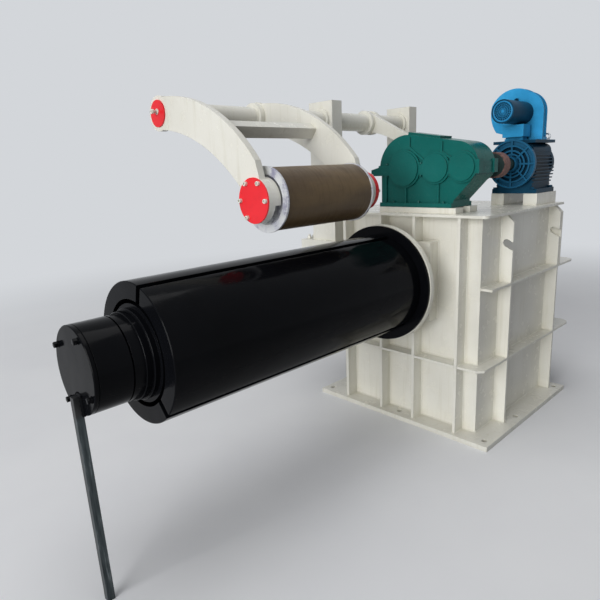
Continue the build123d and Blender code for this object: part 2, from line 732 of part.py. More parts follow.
# Collars on the shaft before the rear arm and on both sides of the lever
with BuildPart() as shaft_collars:
    for y in (REAR_ARM_FRONT, LEVER_Y, LEVER_Y + LEVER_T + COLLAR_ARM_T):
        with BuildSketch(y_plane(y, PIVOT_X, PIVOT_Z)):
            Circle(COLLAR_ARM_R)
            Circle(PIVOT_R + SEAT_FIT, mode=Mode.SUBTRACT)
        extrude(amount=COLLAR_ARM_T)
save(shaft_collars.part, "shaft_collars")

# Tie beam between the arms: a square tube
with BuildPart() as tie_beam:
    with BuildSketch(y_plane(REAR_ARM_FRONT, PIVOT_X, PIVOT_Z)):
        with Locations(Location((*arm_point(BEAM_ALONG, BEAM_ACROSS), 0), BEAM_TURN)):
            Rectangle(BEAM_W, BEAM_H)
            Rectangle(BEAM_W - 2 * BEAM_WALL, BEAM_H - 2 * BEAM_WALL, mode=Mode.SUBTRACT)
    extrude(amount=REAR_ARM_FRONT - FRONT_ARM_REAR)
save(tie_beam.part, "tie_beam")


def lever_point(share, across):
    """Point in the lever's plane: this share of the way from shaft to eye, and square to it, upward."""
    reach = math.hypot(LEVER_X, LEVER_DROP)
    return (
        share * LEVER_X + across * LEVER_DROP / reach,
        -share * LEVER_DROP + across * LEVER_X / reach,
    )


def lever_tip(radius):
    """Point of the lever's rounded end, this far beyond the eye."""
    return lever_point(1 + radius / math.hypot(LEVER_X, LEVER_DROP), 0)


# Lever on the shaft between the posts, with the eye for the lifting cylinder
with BuildPart() as lever:
    with BuildSketch(y_plane(LEVER_Y + LEVER_T, PIVOT_X, PIVOT_Z)):
        with BuildLine():
            top = Line(lever_point(0, LEVER_HUB_R), lever_point(1, LEVER_EYE_R))
            end = ThreePointArc(top @ 1, lever_tip(LEVER_EYE_R), lever_point(1, -LEVER_EYE_R))
            ThreePointArc(end @ 1, lever_point(0.5, -LEVER_WAIST), lever_point(0, -LEVER_HUB_R))
            Line(lever_point(0, -LEVER_HUB_R), top @ 0)
        make_face()
        Circle(LEVER_HUB_R)
        Circle(PIVOT_R + SEAT_FIT, mode=Mode.SUBTRACT)
        with Locations((LEVER_X, -LEVER_DROP)):
            Circle(LEVER_BORE_R, mode=Mode.SUBTRACT)
    extrude(amount=LEVER_T)
save(lever.part, "lever")

# Round covers on the arms: one on the pivot, one on each end of the roll
with BuildPart() as arm_covers:
    with BuildSketch(y_plane(ARM_FRONT, PIVOT_X, PIVOT_Z)):
        Circle(PIVOT_COVER_R)
    extrude(amount=COVER_PLATE_T)
    for y in (ARM_FRONT, REAR_ARM_REAR + COVER_PLATE_T):
        with BuildSketch(y_plane(y, ROLL_X, ROLL_Z)):
            Circle(ROLL_COVER_R)
        extrude(amount=COVER_PLATE_T)
save(arm_covers.part, "arm_covers")

# Roll core with a journal into each arm
with BuildPart() as roll_core:
    with BuildSketch(y_plane(REAR_ARM_REAR - RUN_GAP, ROLL_X, ROLL_Z)):
        Circle(JOURNAL_R)
    extrude(amount=REAR_ARM_REAR - ARM_FRONT - 2 * RUN_GAP)
    with BuildSketch(y_plane(ROLL_FRONT + ROLL_L - ROLL_DISC_T - DISH_DEPTH, ROLL_X, ROLL_Z)):
        Circle(ROLL_CORE_R)
    extrude(amount=ROLL_L - 2 * (ROLL_DISC_T + DISH_DEPTH))
save(roll_core.part, "roll_core")

# End discs of the roll, pressed inward to a dish round the journal
with BuildPart() as roll_discs:
    for rim, inward in ((ROLL_FRONT, 1), (ROLL_FRONT + ROLL_L, -1)):
        floor = rim + inward * DISH_DEPTH
        with BuildSketch(Plane.YZ.offset(ROLL_X)):
            with BuildLine():
                Polyline(
                    (rim, ROLL_Z + DISH_R),
                    (rim, ROLL_Z + ROLL_DISC_R),
                    (rim + inward * ROLL_DISC_T, ROLL_Z + ROLL_DISC_R),
                    (rim + inward * ROLL_DISC_T, ROLL_Z + ROLL_CORE_R),
                    (floor + inward * ROLL_DISC_T, ROLL_Z + ROLL_CORE_R),
                    (floor + inward * ROLL_DISC_T, ROLL_Z + JOURNAL_R + SEAT_FIT),
                    (floor, ROLL_Z + JOURNAL_R + SEAT_FIT),
                    (floor, ROLL_Z + DISH_FLOOR_R),
                    close=True,
                )
            make_face()
        revolve(axis=Axis((ROLL_X, 0, ROLL_Z), (0, 1, 0)), revolution_arc=360)
save(roll_discs.part, "roll_discs")

# Rubber sleeve
with BuildPart() as roll_rubber:
    with BuildSketch(y_plane(ROLL_FRONT + ROLL_L - ROLL_DISC_T, ROLL_X, ROLL_Z)):
        Circle(ROLL_R)
        Circle(ROLL_CORE_R + SEAT_FIT, mode=Mode.SUBTRACT)
    extrude(amount=ROLL_L - 2 * ROLL_DISC_T)
save(roll_rubber.part, "roll_rubber")

# Reducer seat: two bars across the top deck
with BuildPart() as reducer_seat:
    with BuildSketch(Plane.XY.offset(TOP_Z)):
        for y in (CASE_FRONT - SEAT_EDGE, CASE_REAR + SEAT_EDGE - SEAT_BAR_W):
            with Locations(((SEAT_LEFT + SEAT_RIGHT) / 2, y)):
                Rectangle(SEAT_RIGHT - SEAT_LEFT, SEAT_BAR_W, align=(Align.CENTER, Align.MIN))
    extrude(amount=SEAT_T)
save(reducer_seat.part, "reducer_seat")


def case_front_back(out):
    """Sketch planes for a relief on both long sides of the case that stands out by this much."""
    return (y_plane(CASE_FRONT, z=GEAR_Z), y_plane(CASE_REAR + out, z=GEAR_Z))


def lid_top(x):
    """Height of the lid's sloping top over the shafts."""
    return (LID_BIG_R - (x - LID_BIG_X) * math.sin(LID_SLOPE)) / math.cos(LID_SLOPE)


def hatch_plane(rise):
    """Sketch plane along the lid's slope, this much over its surface, at the middle of the hatch."""
    normal = Vector(math.sin(LID_SLOPE), 0, math.cos(LID_SLOPE))
    return Plane(
        origin=Vector(HATCH_X, CASE_MIDDLE_Y, GEAR_Z + lid_top(HATCH_X)) + normal * rise,
        x_dir=(math.cos(LID_SLOPE), 0, -math.sin(LID_SLOPE)),
        z_dir=normal,
    )


# Lower half of the reducer case: foot flange, ribs, half-round bearing seats and split flange
with BuildPart() as reducer_base:
    with BuildSketch(y_plane(CASE_REAR)):
        with BuildLine():
            Polyline(
                (CASE_LEFT, TOP_Z + SEAT_T),
                (CASE_FOOT_RIGHT, TOP_Z + SEAT_T),
                (CASE_FOOT_RIGHT, TOP_Z + SEAT_T + CASE_SLANT_Z),
                (CASE_RIGHT, GEAR_Z - CASE_SHOULDER),
                (CASE_RIGHT, GEAR_Z),
                (CASE_LEFT, GEAR_Z),
                close=True,
            )
        make_face()
    extrude(amount=CASE_D)
    with BuildSketch(Plane.XY.offset(TOP_Z + SEAT_T)):
        with Locations(((CASE_LEFT + CASE_FOOT_RIGHT) / 2, CASE_MIDDLE_Y)):
            Rectangle(CASE_FOOT_RIGHT - CASE_LEFT, CASE_D + 2 * FOOT_FLANGE_OUT)
    extrude(amount=FOOT_FLANGE_T)
    with BuildSketch(Plane.XY.offset(GEAR_Z - FLANGE_LOW_T)):
        with Locations((CASE_MIDDLE, CASE_MIDDLE_Y)):
            Rectangle(FLANGE_RIGHT - FLANGE_LEFT, CASE_D + 2 * FLANGE_OUT)
        for y in LUG_Y:
            with Locations((LUG_X, y)):
                Rectangle(LUG_W, LUG_D)
            with Locations((FLANGE_LEFT, y)):
                Rectangle(2 * EAR_L, LUG_D)
    extrude(amount=FLANGE_LOW_T)
    for plane in case_front_back(FLANGE_OUT):
        with BuildSketch(plane):
            for x, r in zip(GEAR_X, COVER_R):
                with Locations((x, 0)):
                    Circle(r + BEARING_EDGE)
            with Locations((CASE_MIDDLE, 0)):
                Rectangle(
                    FLANGE_RIGHT - FLANGE_LEFT,
                    LID_BIG_R,
                    align=(Align.CENTER, Align.MAX),
                    mode=Mode.INTERSECT,
                )
        extrude(amount=FLANGE_OUT)
    for plane in case_front_back(CASE_RIB_OUT):
        with BuildSketch(plane):
            for x in CASE_RIB_X:
                with Locations((x, 0)):
                    Rectangle(CASE_RIB_T, CASE_CENTRE_H, align=(Align.CENTER, Align.MAX))
        extrude(amount=CASE_RIB_OUT)
save(reducer_base.part, "reducer_base")

# Upper half of the case: hull over the gears, bent ribs, split flange with end lugs and lifting ears
with BuildPart() as reducer_lid:
    with BuildSketch(y_plane(CASE_REAR, z=GEAR_Z)):
        with BuildSketch():
            with Locations((LID_BIG_X, 0)):
                Circle(LID_BIG_R)
            with Locations((LID_SMALL_X, 0)):
                Circle(LID_SMALL_R)
            make_hull()
        with Locations((CASE_MIDDLE, 0)):
            Rectangle(
                FLANGE_RIGHT - FLANGE_LEFT,
                2 * LID_BIG_R,
                align=(Align.CENTER, Align.MIN),
                mode=Mode.INTERSECT,
            )
    extrude(amount=CASE_D)
    with BuildSketch(Plane.XY.offset(GEAR_Z)):
        with Locations((CASE_MIDDLE, CASE_MIDDLE_Y)):
            Rectangle(FLANGE_RIGHT - FLANGE_LEFT, CASE_D + 2 * FLANGE_OUT)
    extrude(amount=FLANGE_T)
    with BuildSketch(Plane.XY.offset(GEAR_Z)):
        with Locations((LUG_X, LUG_Y[0]), (LUG_X, LUG_Y[1])):
            Rectangle(LUG_W, LUG_D)
    extrude(amount=LUG_UP)
    for y in LUG_Y:
        with BuildSketch(y_plane(y + LUG_D / 2, z=GEAR_Z)):
            with BuildLine():
                Polyline(
                    (FLANGE_LEFT - EAR_L, 0),
                    (FLANGE_LEFT + EAR_IN, 0),
                    (FLANGE_LEFT + EAR_IN, FLANGE_T),
                    close=True,
                )
            make_face()
        extrude(amount=LUG_D)
    for plane in case_front_back(FLANGE_OUT):
        with BuildSketch(plane):
            for x, r in zip(GEAR_X, COVER_R):
                with Locations((x, 0)):
                    Circle(r + BEARING_EDGE)
            with Locations((CASE_MIDDLE, 0)):
                Rectangle(
                    FLANGE_RIGHT - FLANGE_LEFT,
                    LID_BIG_R,
                    align=(Align.CENTER, Align.MIN),
                    mode=Mode.INTERSECT,
                )
        extrude(amount=FLANGE_OUT)
    for x, run, fall in LID_RIBS:
        top = lid_top(x)
        for plane in case_front_back(CASE_RIB_OUT):
            with BuildSketch(plane):
                with BuildLine():
                    Polyline(
                        (x - CASE_RIB_T / 2, top - LID_RIB_DOWN),
                        (x - CASE_RIB_T / 2, top - CASE_RIB_T),
                        (x + CASE_RIB_T / 2, top - CASE_RIB_T),
                        (x + CASE_RIB_T / 2, top - LID_RIB_DOWN + CASE_RIB_T / 2),
                        (x + run, top - LID_RIB_DOWN - fall + CASE_RIB_T / 2),
                        (x + run, top - LID_RIB_DOWN - fall - CASE_RIB_T / 2),
                        close=True,
                    )
                make_face()
            extrude(amount=CASE_RIB_OUT)
    with BuildSketch(hatch_plane(-HATCH_SINK)):
        Rectangle(HATCH_L, HATCH_W)
    extrude(amount=HATCH_SINK + HATCH_RISE)
save(reducer_lid.part, "reducer_lid")

# Round bearing covers on both sides, the input housing further out at the rear, and the sloping hatch
with BuildPart() as reducer_covers:
    for x, r in zip(GEAR_X, COVER_R):
        with BuildSketch(y_plane(CASE_FRONT - FLANGE_OUT, x, GEAR_Z)):
            Circle(r)
        extrude(amount=COVER_OUT)
    for x, r, out in zip(GEAR_X, COVER_R, (COVER_OUT, COVER_OUT, HOUSING_OUT)):
        with BuildSketch(y_plane(CASE_REAR + FLANGE_OUT + out, x, GEAR_Z)):
            Circle(r)
            if x == FAST_X:
                Circle(MOTOR_SHAFT_R + SEAT_FIT, mode=Mode.SUBTRACT)
        extrude(amount=out)
    with BuildSketch(hatch_plane(HATCH_RISE)):
        Rectangle(HATCH_L, HATCH_W)
    extrude(amount=HATCH_T)
save(reducer_covers.part, "reducer_covers")

# Coupling drum on the fast shaft, between reducer and motor
with BuildPart() as coupling:
    with BuildSketch(y_plane(MOTOR_FRONT - RUN_GAP, FAST_X, GEAR_Z)):
        Circle(MOTOR_SHAFT_R)
    extrude(amount=MOTOR_FRONT - 2 * RUN_GAP - CASE_REAR - FLANGE_OUT)
    with BuildSketch(y_plane(MOTOR_FRONT - COUPLING_BACK, FAST_X, GEAR_Z)):
        Circle(DRUM_COUPLING_R)
    extrude(amount=DRUM_COUPLING_L)
save(coupling.part, "coupling")

# Motor seats: two blocks under the motor feet
with BuildPart() as motor_seats:
    for side in (-1, 1):
        with BuildSketch(Plane.XY.offset(TOP_Z)):
            with Locations((FAST_X + side * SEAT_BLOCK_STEP / 2, (MOTOR_FRONT + SEAT_BLOCK_IN + MOTOR_REAR) / 2)):
                Rectangle(SEAT_BLOCK_W, MOTOR_L - SEAT_BLOCK_IN)
        extrude(amount=MOTOR_FOOT_Z - TOP_Z)
save(motor_seats.part, "motor_seats")

# Motor frame: a squarish finned body between two end shields, on feet, and the terminal box above
with BuildPart() as motor_frame:
    for y in (MOTOR_FRONT + GRILLE_T + SHIELD_T, MOTOR_REAR):
        with BuildSketch(y_plane(y, FAST_X, GEAR_Z)):
            Circle(FRAME_TOP)
        extrude(amount=SHIELD_T)
    with BuildSketch(y_plane(MOTOR_REAR - SHIELD_T, FAST_X, GEAR_Z)):
        with BuildSketch() as frame_sk:
            with Locations((0, FRAME_TOP)):
                Rectangle(
                    2 * FRAME_HALF_W,
                    FRAME_TOP + MOTOR_SHAFT_H,
                    align=(Align.CENTER, Align.MAX),
                )
            fillet(frame_sk.vertices().group_by(Axis.Y)[-1], FRAME_CORNER_R)
        with Locations((0, -MOTOR_SHAFT_H)):
            Rectangle(MOTOR_FOOT_W, MOTOR_FOOT_T, align=(Align.CENTER, Align.MIN))
        for n in range(FIN_COUNT):
            rise = (n - (FIN_COUNT - 1) / 2) * FIN_STEP
            tip = FIN_TIP - FIN_ARC_R + math.sqrt(FIN_ARC_R**2 - rise**2)
            with Locations((0, rise - FIN_DROP)):
                Rectangle(2 * tip, FIN_T)
    extrude(amount=MOTOR_L - GRILLE_T - 2 * SHIELD_T)
    with BuildSketch(Plane.XY.offset(SADDLE_Z)):
        with Locations((FAST_X, SADDLE_FRONT)):
            Rectangle(TERMINAL_NECK_W, TERMINAL_NECK_D, align=(Align.CENTER, Align.MIN))
    extrude(amount=TERMINAL_NECK_H)
    with BuildSketch(Plane.XY.offset(SADDLE_Z + TERMINAL_NECK_H)) as box_sk:
        with Locations((FAST_X, MOTOR_FRONT + TERMINAL_IN)):
            Rectangle(TERMINAL_W, TERMINAL_D, align=(Align.CENTER, Align.MIN))
    extrude(amount=TERMINAL_H)
save(motor_frame.part, "motor_frame")

# Grille at the motor's shaft end: a flanged rim, rings and spokes round a hub that clears the shaft
with BuildPart() as motor_grille:
    with BuildSketch(y_plane(MOTOR_FRONT + GRILLE_T, FAST_X, GEAR_Z)):
        Circle(GRILLE_R)
        Circle(FRAME_TOP - GRILLE_LAP, mode=Mode.SUBTRACT)
    extrude(amount=GRILLE_BAR_T)
    with BuildSketch(y_plane(MOTOR_FRONT + GRILLE_T, FAST_X, GEAR_Z)):
        Circle(GRILLE_R)
        Circle(GRILLE_R - GRILLE_BAR_W, mode=Mode.SUBTRACT)
    extrude(amount=GRILLE_T)
    with BuildSketch(y_plane(MOTOR_FRONT + GRILLE_BAR_T, FAST_X, GEAR_Z)):
        for r in GRILLE_RING_R:
            with BuildSketch():
                Circle(r)
                Circle(r - GRILLE_BAR_W, mode=Mode.SUBTRACT)
        with PolarLocations(0, SPOKES):
            Rectangle(GRILLE_R - GRILLE_BAR_W / 2, GRILLE_BAR_W, align=(Align.MIN, Align.CENTER))
    extrude(amount=GRILLE_BAR_T)
    with BuildSketch(y_plane(MOTOR_FRONT + GRILLE_T, FAST_X, GEAR_Z)):
        Circle(GRILLE_HUB_R)
    extrude(amount=GRILLE_T + GRILLE_HUB_OUT)
    with BuildSketch(y_plane(MOTOR_FRONT + GRILLE_T, FAST_X, GEAR_Z)):
        Circle(MOTOR_SHAFT_R + PASS_GAP)
    extrude(amount=GRILLE_T + GRILLE_HUB_OUT, mode=Mode.SUBTRACT)
save(motor_grille.part, "motor_grille")


def scroll_point(degrees, radius):
    """Point on the blower's scroll, from its axis: 0 is the side over the outlet, 90 is the top."""
    turn = math.radians(degrees)
    return (FAST_X + radius * math.cos(turn), BLOWER_Z + radius * math.sin(turn))


# Cooling blower: saddle plate on the motor, flanged outlet and a scroll that widens to the far side
with BuildPart() as blower_housing:
    with BuildSketch(Plane.XY.offset(SADDLE_Z - SADDLE_T)):
        with Locations((FAST_X, SADDLE_FRONT)):
            Rectangle(SADDLE_W, SADDLE_L, align=(Align.CENTER, Align.MIN))
    extrude(amount=SADDLE_T)
    with BuildSketch(Plane.XY.offset(SADDLE_Z)):
        with Locations(((OUTLET_LEFT + OUTLET_RIGHT) / 2, (BLOWER_FRONT + BLOWER_REAR) / 2)):
            Rectangle(OUTLET_W + 2 * OUTLET_FLANGE, BLOWER_T + 2 * OUTLET_FLANGE)
    extrude(amount=OUTLET_FLANGE_T)
    with BuildSketch(y_plane(BLOWER_REAR)) as scroll_sk:
        with BuildLine():
            side = Line((OUTLET_RIGHT, SADDLE_Z), scroll_point(0, SCROLL_R))
            shoulder = ThreePointArc(
                side @ 1,
                scroll_point(SCROLL_TURNS[0] / 2, SCROLL_R),
                scroll_point(SCROLL_TURNS[0], SCROLL_R),
            )
            widening = ThreePointArc(
                shoulder @ 1,
                scroll_point((SCROLL_TURNS[0] + SCROLL_TURNS[1]) / 2, (SCROLL_R + SCROLL_GROWN_R) / 2),
                scroll_point(SCROLL_TURNS[1], SCROLL_GROWN_R),
            )
            closing = ThreePointArc(
                widening @ 1,
                scroll_point((SCROLL_TURNS[1] + SCROLL_TURNS[2]) / 2, (SCROLL_GROWN_R + SCROLL_END_R) / 2),
                scroll_point(SCROLL_TURNS[2], SCROLL_END_R),
            )
            Polyline(
                closing @ 1,
                (OUTLET_LEFT, SADDLE_Z + OUTLET_H),
                (OUTLET_LEFT, SADDLE_Z),
                side @ 0,
            )
        make_face()
    extrude(amount=BLOWER_T)
    for y in (BLOWER_FRONT + SCROLL_RIM_T, BLOWER_REAR):
        with BuildSketch(y_plane(y)):
            with BuildSketch():
                add(scroll_sk.sketch_local)
                offset(amount=SCROLL_RIM)
            with Locations((FAST_X, SADDLE_Z + OUTLET_FLANGE_T)):
                Rectangle(
                    4 * SCROLL_GROWN_R,
                    2 * SCROLL_GROWN_R + BLOWER_H,
                    align=(Align.CENTER, Align.MIN),
                    mode=Mode.INTERSECT,
                )
        extrude(amount=SCROLL_RIM_T)
save(blower_housing.part, "blower_housing")

# The blower's own motor, with a raised ring round its front face
with BuildPart() as blower_motor:
    with BuildSketch(y_plane(BLOWER_FRONT, FAST_X, BLOWER_Z)):
        Circle(FAN_MOTOR_R)
    extrude(amount=FAN_MOTOR_L)
    with BuildSketch(y_plane(BLOWER_FRONT - FAN_MOTOR_L + FAN_RING_T, FAST_X, BLOWER_Z)):
        Circle(FAN_MOTOR_R - FAN_RING_W)
    extrude(amount=FAN_RING_T, mode=Mode.SUBTRACT)
save(blower_motor.part, "blower_motor")
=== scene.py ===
# %% [markdown]
# A strip coiler for steel: a black expanding drum on a cream ribbed pedestal, a green
# reducer and a blue blown motor on top, and a swinging arm with a rubber roll. The rigid
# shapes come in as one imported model, in metres, and this script gives them their finish,
# adds the small hardware that sits on them, and lights them.

# %% Load the model
import bpy
import bmesh
import json
import math
from mathutils import Matrix, Vector


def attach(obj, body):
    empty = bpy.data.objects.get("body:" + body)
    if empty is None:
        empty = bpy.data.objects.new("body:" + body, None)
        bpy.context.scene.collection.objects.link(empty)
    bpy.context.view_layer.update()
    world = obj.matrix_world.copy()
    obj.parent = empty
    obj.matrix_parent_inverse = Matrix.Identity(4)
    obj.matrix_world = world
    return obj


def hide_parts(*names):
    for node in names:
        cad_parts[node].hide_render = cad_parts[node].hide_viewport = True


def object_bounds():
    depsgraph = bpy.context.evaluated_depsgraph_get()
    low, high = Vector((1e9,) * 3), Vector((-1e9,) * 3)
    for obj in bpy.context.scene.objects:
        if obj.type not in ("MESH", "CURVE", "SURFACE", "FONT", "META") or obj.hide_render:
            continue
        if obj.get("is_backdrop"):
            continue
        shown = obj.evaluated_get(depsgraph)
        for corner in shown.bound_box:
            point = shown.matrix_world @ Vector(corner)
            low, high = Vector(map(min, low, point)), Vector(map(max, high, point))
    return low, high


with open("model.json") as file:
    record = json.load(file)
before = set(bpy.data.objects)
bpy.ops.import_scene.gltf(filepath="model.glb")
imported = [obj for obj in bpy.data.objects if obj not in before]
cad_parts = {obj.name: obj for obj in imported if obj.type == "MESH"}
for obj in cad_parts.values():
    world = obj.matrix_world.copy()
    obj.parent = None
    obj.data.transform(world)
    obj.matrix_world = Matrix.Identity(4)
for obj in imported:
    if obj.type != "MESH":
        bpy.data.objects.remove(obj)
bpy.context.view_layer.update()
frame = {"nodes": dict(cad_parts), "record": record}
NODES = frame["nodes"]

# %% [markdown]
# The camera stands at eye height beside the free end of the drum and looks along it
# towards the pedestal. It could be aimed with a constraint, but its place, heading and
# pitch were found from straight edges of known direction, so they are written down here
# as they are and turned into a matrix. The small shift keeps the picture's own middle.

# %% Camera
CAMERA_AT = Vector((1.6344, -2.7656, 1.4056))
HEADING = math.radians(46.7)
PITCH_DOWN = math.radians(13.1)
ROLL = math.radians(-2.53)
SENSOR_MM = 36.0
IMAGE_PX = 600
FOCAL_PX = 521.4
MIDDLE_PX = (296.5, 291.5)


def add_camera():
    data = bpy.data.cameras.new("camera")
    cam = bpy.data.objects.new("camera", data)
    bpy.context.collection.objects.link(cam)
    data.sensor_width = SENSOR_MM
    data.lens = FOCAL_PX / IMAGE_PX * SENSOR_MM
    data.shift_x = (IMAGE_PX / 2 - MIDDLE_PX[0]) / IMAGE_PX
    data.shift_y = (MIDDLE_PX[1] - IMAGE_PX / 2) / IMAGE_PX
    ahead = Vector((
        -math.sin(HEADING) * math.cos(PITCH_DOWN),
        math.cos(HEADING) * math.cos(PITCH_DOWN),
        -math.sin(PITCH_DOWN),
    ))
    right = Vector((math.cos(HEADING), math.sin(HEADING), 0))
    up = right.cross(ahead)
    turned_right = right * math.cos(ROLL) + up * math.sin(ROLL)
    turned_up = up * math.cos(ROLL) - right * math.sin(ROLL)
    turn = Matrix((turned_right, turned_up, -ahead)).transposed()
    cam.matrix_world = Matrix.Translation(CAMERA_AT) @ turn.to_4x4()
    bpy.context.scene.camera = cam
    return cam


camera = add_camera()
print("lens:", round(camera.data.lens, 2), "mm")

# %% [markdown]
# Every finish is a small node tree. It could be built by hand in the shader editor, but
# a script makes each one the same way again. One function turns a hex colour, as a paint
# chart gives it, into the linear numbers that the shader needs, and one adds a node with
# its settings and links. Patterns are sized from real millimetres on the object's own
# coordinates, so they stay put when a piece moves. The mix node keeps its two colours
# in inputs 6 and 7 and its result in output 2, so those numbers get names. FINE says how
# strongly the finer blobs of a noise show.

# %% Helpers for materials
MM = 0.001
NOISE, RAMP, MIX, MAPPING = "ShaderNodeTexNoise", "ShaderNodeValToRGB", "ShaderNodeMix", "ShaderNodeMapping"
RANGE, MATH, VECTOR_MATH = "ShaderNodeMapRange", "ShaderNodeMath", "ShaderNodeVectorMath"
CORNERS, ROUNDING, BUMP = "ShaderNodeAmbientOcclusion", "ShaderNodeBevel", "ShaderNodeBump"
SPLIT, JOIN = "ShaderNodeSeparateXYZ", "ShaderNodeCombineXYZ"
UNDER, OVER, MIXED = 6, 7, 2
FINE = 0.55


def linear(colour):
    """Hex sRGB colour, or a plain grey level from 0 to 1, as linear RGBA."""
    if not isinstance(colour, str):
        return (colour, colour, colour, 1.0)
    values = [int(colour[i:i + 2], 16) / 255 for i in (0, 2, 4)]
    return tuple(v / 12.92 if v <= 0.04045 else ((v + 0.055) / 1.055) ** 2.4 for v in values) + (1.0,)


def per_mm(size):
    """Texture scale at which a pattern's blobs are this many millimetres across."""
    return 1 / (size * MM)


def wire(tree, node, links):
    """Links {input: output socket} to a node."""
    for key, source in links.items():
        tree.links.new(source, node.inputs[key])


def add_node(tree, kind, settings=None, links=None):
    """A node with its properties, input values or ramp stops set, and its inputs linked."""
    node = tree.nodes.new(kind)
    for key, value in (settings or {}).items():
        if key == "stops":
            while len(node.color_ramp.elements) < len(value):
                node.color_ramp.elements.new(0.5)
            for element, (position, tone) in zip(node.color_ramp.elements, value):
                element.position, element.color = position, linear(tone)
        elif hasattr(node, str(key)):
            setattr(node, key, value)
        else:
            node.inputs[key].default_value = value
    wire(tree, node, links or {})
    return node


def new_material(name, rounding_mm=0.0):
    """An empty material: itself, its tree, its shader, object coordinates and, if asked, a softly rounded normal."""
    material = bpy.data.materials.new(name)
    material.use_nodes = True
    tree = material.node_tree
    tree.nodes.clear()
    shader = add_node(tree, "ShaderNodeBsdfPrincipled")
    add_node(tree, "ShaderNodeOutputMaterial", None, {"Surface": shader.outputs["BSDF"]})
    where = add_node(tree, "ShaderNodeTexCoord").outputs["Object"]
    edge = None
    if rounding_mm:
        edge = add_node(tree, ROUNDING, {"samples": 4, "Radius": rounding_mm * MM}).outputs["Normal"]
        wire(tree, shader, {"Normal": edge})
    return material, tree, shader, where, edge


print("half grey, 808080, in linear light:", round(linear("808080")[0], 3))

# %% [markdown]
# Machine enamel is sprayed or brushed on plate steel. It gives a glossy skin with a fine
# orange peel, a slow change of shade from coat to coat, dust in the corners where plates
# meet, and thin runs that oil leaves down the walls. Each paint could be a tree of its
# own, but they differ only in shades and amounts, so one function makes them all. The
# corners are darkened in the soil colour by ambient occlusion, which finds them by itself.
# This darkening is painted shade as well as dust. The runs are noise that is stretched
# along the height. The peel is drawn at 9 mm, coarser than the real 2 mm, so that it shows
# at this distance.

# %% Paint
PEEL_MM, DENT_MM, COAT_MM, SOIL_MM = 9.0, 130.0, 420.0, 60.0
PEEL_DEPTH, DENT_DEPTH = 0.4 * MM, 6.0 * MM
RUN_MM, RUN_STRETCH = 26.0, 0.06
CORNER_MM, EDGE_MM = 55.0, 2.0


def paint(name, shades, rough, spec=0.5, peel=0.08, dents=0.0, soil=0.2, soil_and_shade_colour="8E887A", corner_dust_and_shade=0.3, runs=0.0):
    """Enamel with shades (dark, own, light). The amounts of dents, soil, corner dust with painted shade, and runs go
    from 0 to 1.
    """
    material, tree, shader, where, edge = new_material(name, EDGE_MM)
    dark, own, light = shades
    coat = add_node(tree, NOISE, {"Scale": per_mm(COAT_MM), "Detail": 4.0, "Roughness": FINE}, {"Vector": where})
    tones = [(0.3, dark), (0.5, own), (0.72, light)]
    colour = add_node(tree, RAMP, {"stops": tones}, {"Fac": coat.outputs["Fac"]}).outputs["Color"]
    grime = add_node(tree, NOISE, {"Scale": per_mm(SOIL_MM), "Detail": 6.0, "Roughness": 0.7}, {"Vector": where})
    soil_and_shade_layers = [(grime.outputs["Fac"], [(0.52, 0.0), (0.8, soil)])]
    if runs:
        drawn = add_node(tree, MAPPING, {"Scale": (1, 1, RUN_STRETCH)}, {"Vector": where}).outputs["Vector"]
        blobs = {"Scale": per_mm(RUN_MM), "Detail": 3.0, "Roughness": FINE}
        marks = add_node(tree, NOISE, blobs, {"Vector": drawn})
        soil_and_shade_layers.insert(0, (marks.outputs["Fac"], [(0.55, 0.0), (0.8, runs)]))
    # Corners darkened by ambient occlusion: painted shade, with dust.
    if corner_dust_and_shade:
        corner = add_node(tree, CORNERS, {"samples": 6, "Distance": CORNER_MM * MM})
        soil_and_shade_layers.append((corner.outputs["AO"], [(0.25, corner_dust_and_shade), (0.75, 0.0)]))
    layers = {"data_type": "RGBA", OVER: linear(soil_and_shade_colour)}
    for source, stops in soil_and_shade_layers:
        amount = add_node(tree, RAMP, {"stops": stops}, {"Fac": source}).outputs["Color"]
        colour = add_node(tree, MIX, layers, {0: amount, UNDER: colour}).outputs[MIXED]
    gloss = add_node(tree, RAMP, {"stops": [(0.4, rough), (0.8, rough + 0.15)]}, {"Fac": grime.outputs["Fac"]})
    shader.inputs["Specular IOR Level"].default_value = spec
    relief = edge
    if dents:
        waves = add_node(tree, NOISE, {"Scale": per_mm(DENT_MM), "Detail": 1.0, "Roughness": FINE}, {"Vector": where})
        links = {"Height": waves.outputs["Fac"], "Normal": relief}
        relief = add_node(tree, BUMP, {"Strength": dents, "Distance": DENT_DEPTH}, links).outputs["Normal"]
    fine = add_node(tree, NOISE, {"Scale": per_mm(PEEL_MM), "Detail": 2.0, "Roughness": FINE}, {"Vector": where})
    links = {"Height": fine.outputs["Fac"], "Normal": relief}
    relief = add_node(tree, BUMP, {"Strength": peel, "Distance": PEEL_DEPTH}, links).outputs["Normal"]
    wire(tree, shader, {"Base Color": colour, "Roughness": gloss.outputs["Color"], "Normal": relief})
    return material


print("patterns from", PEEL_MM, "mm orange peel to", COAT_MM, "mm shades")
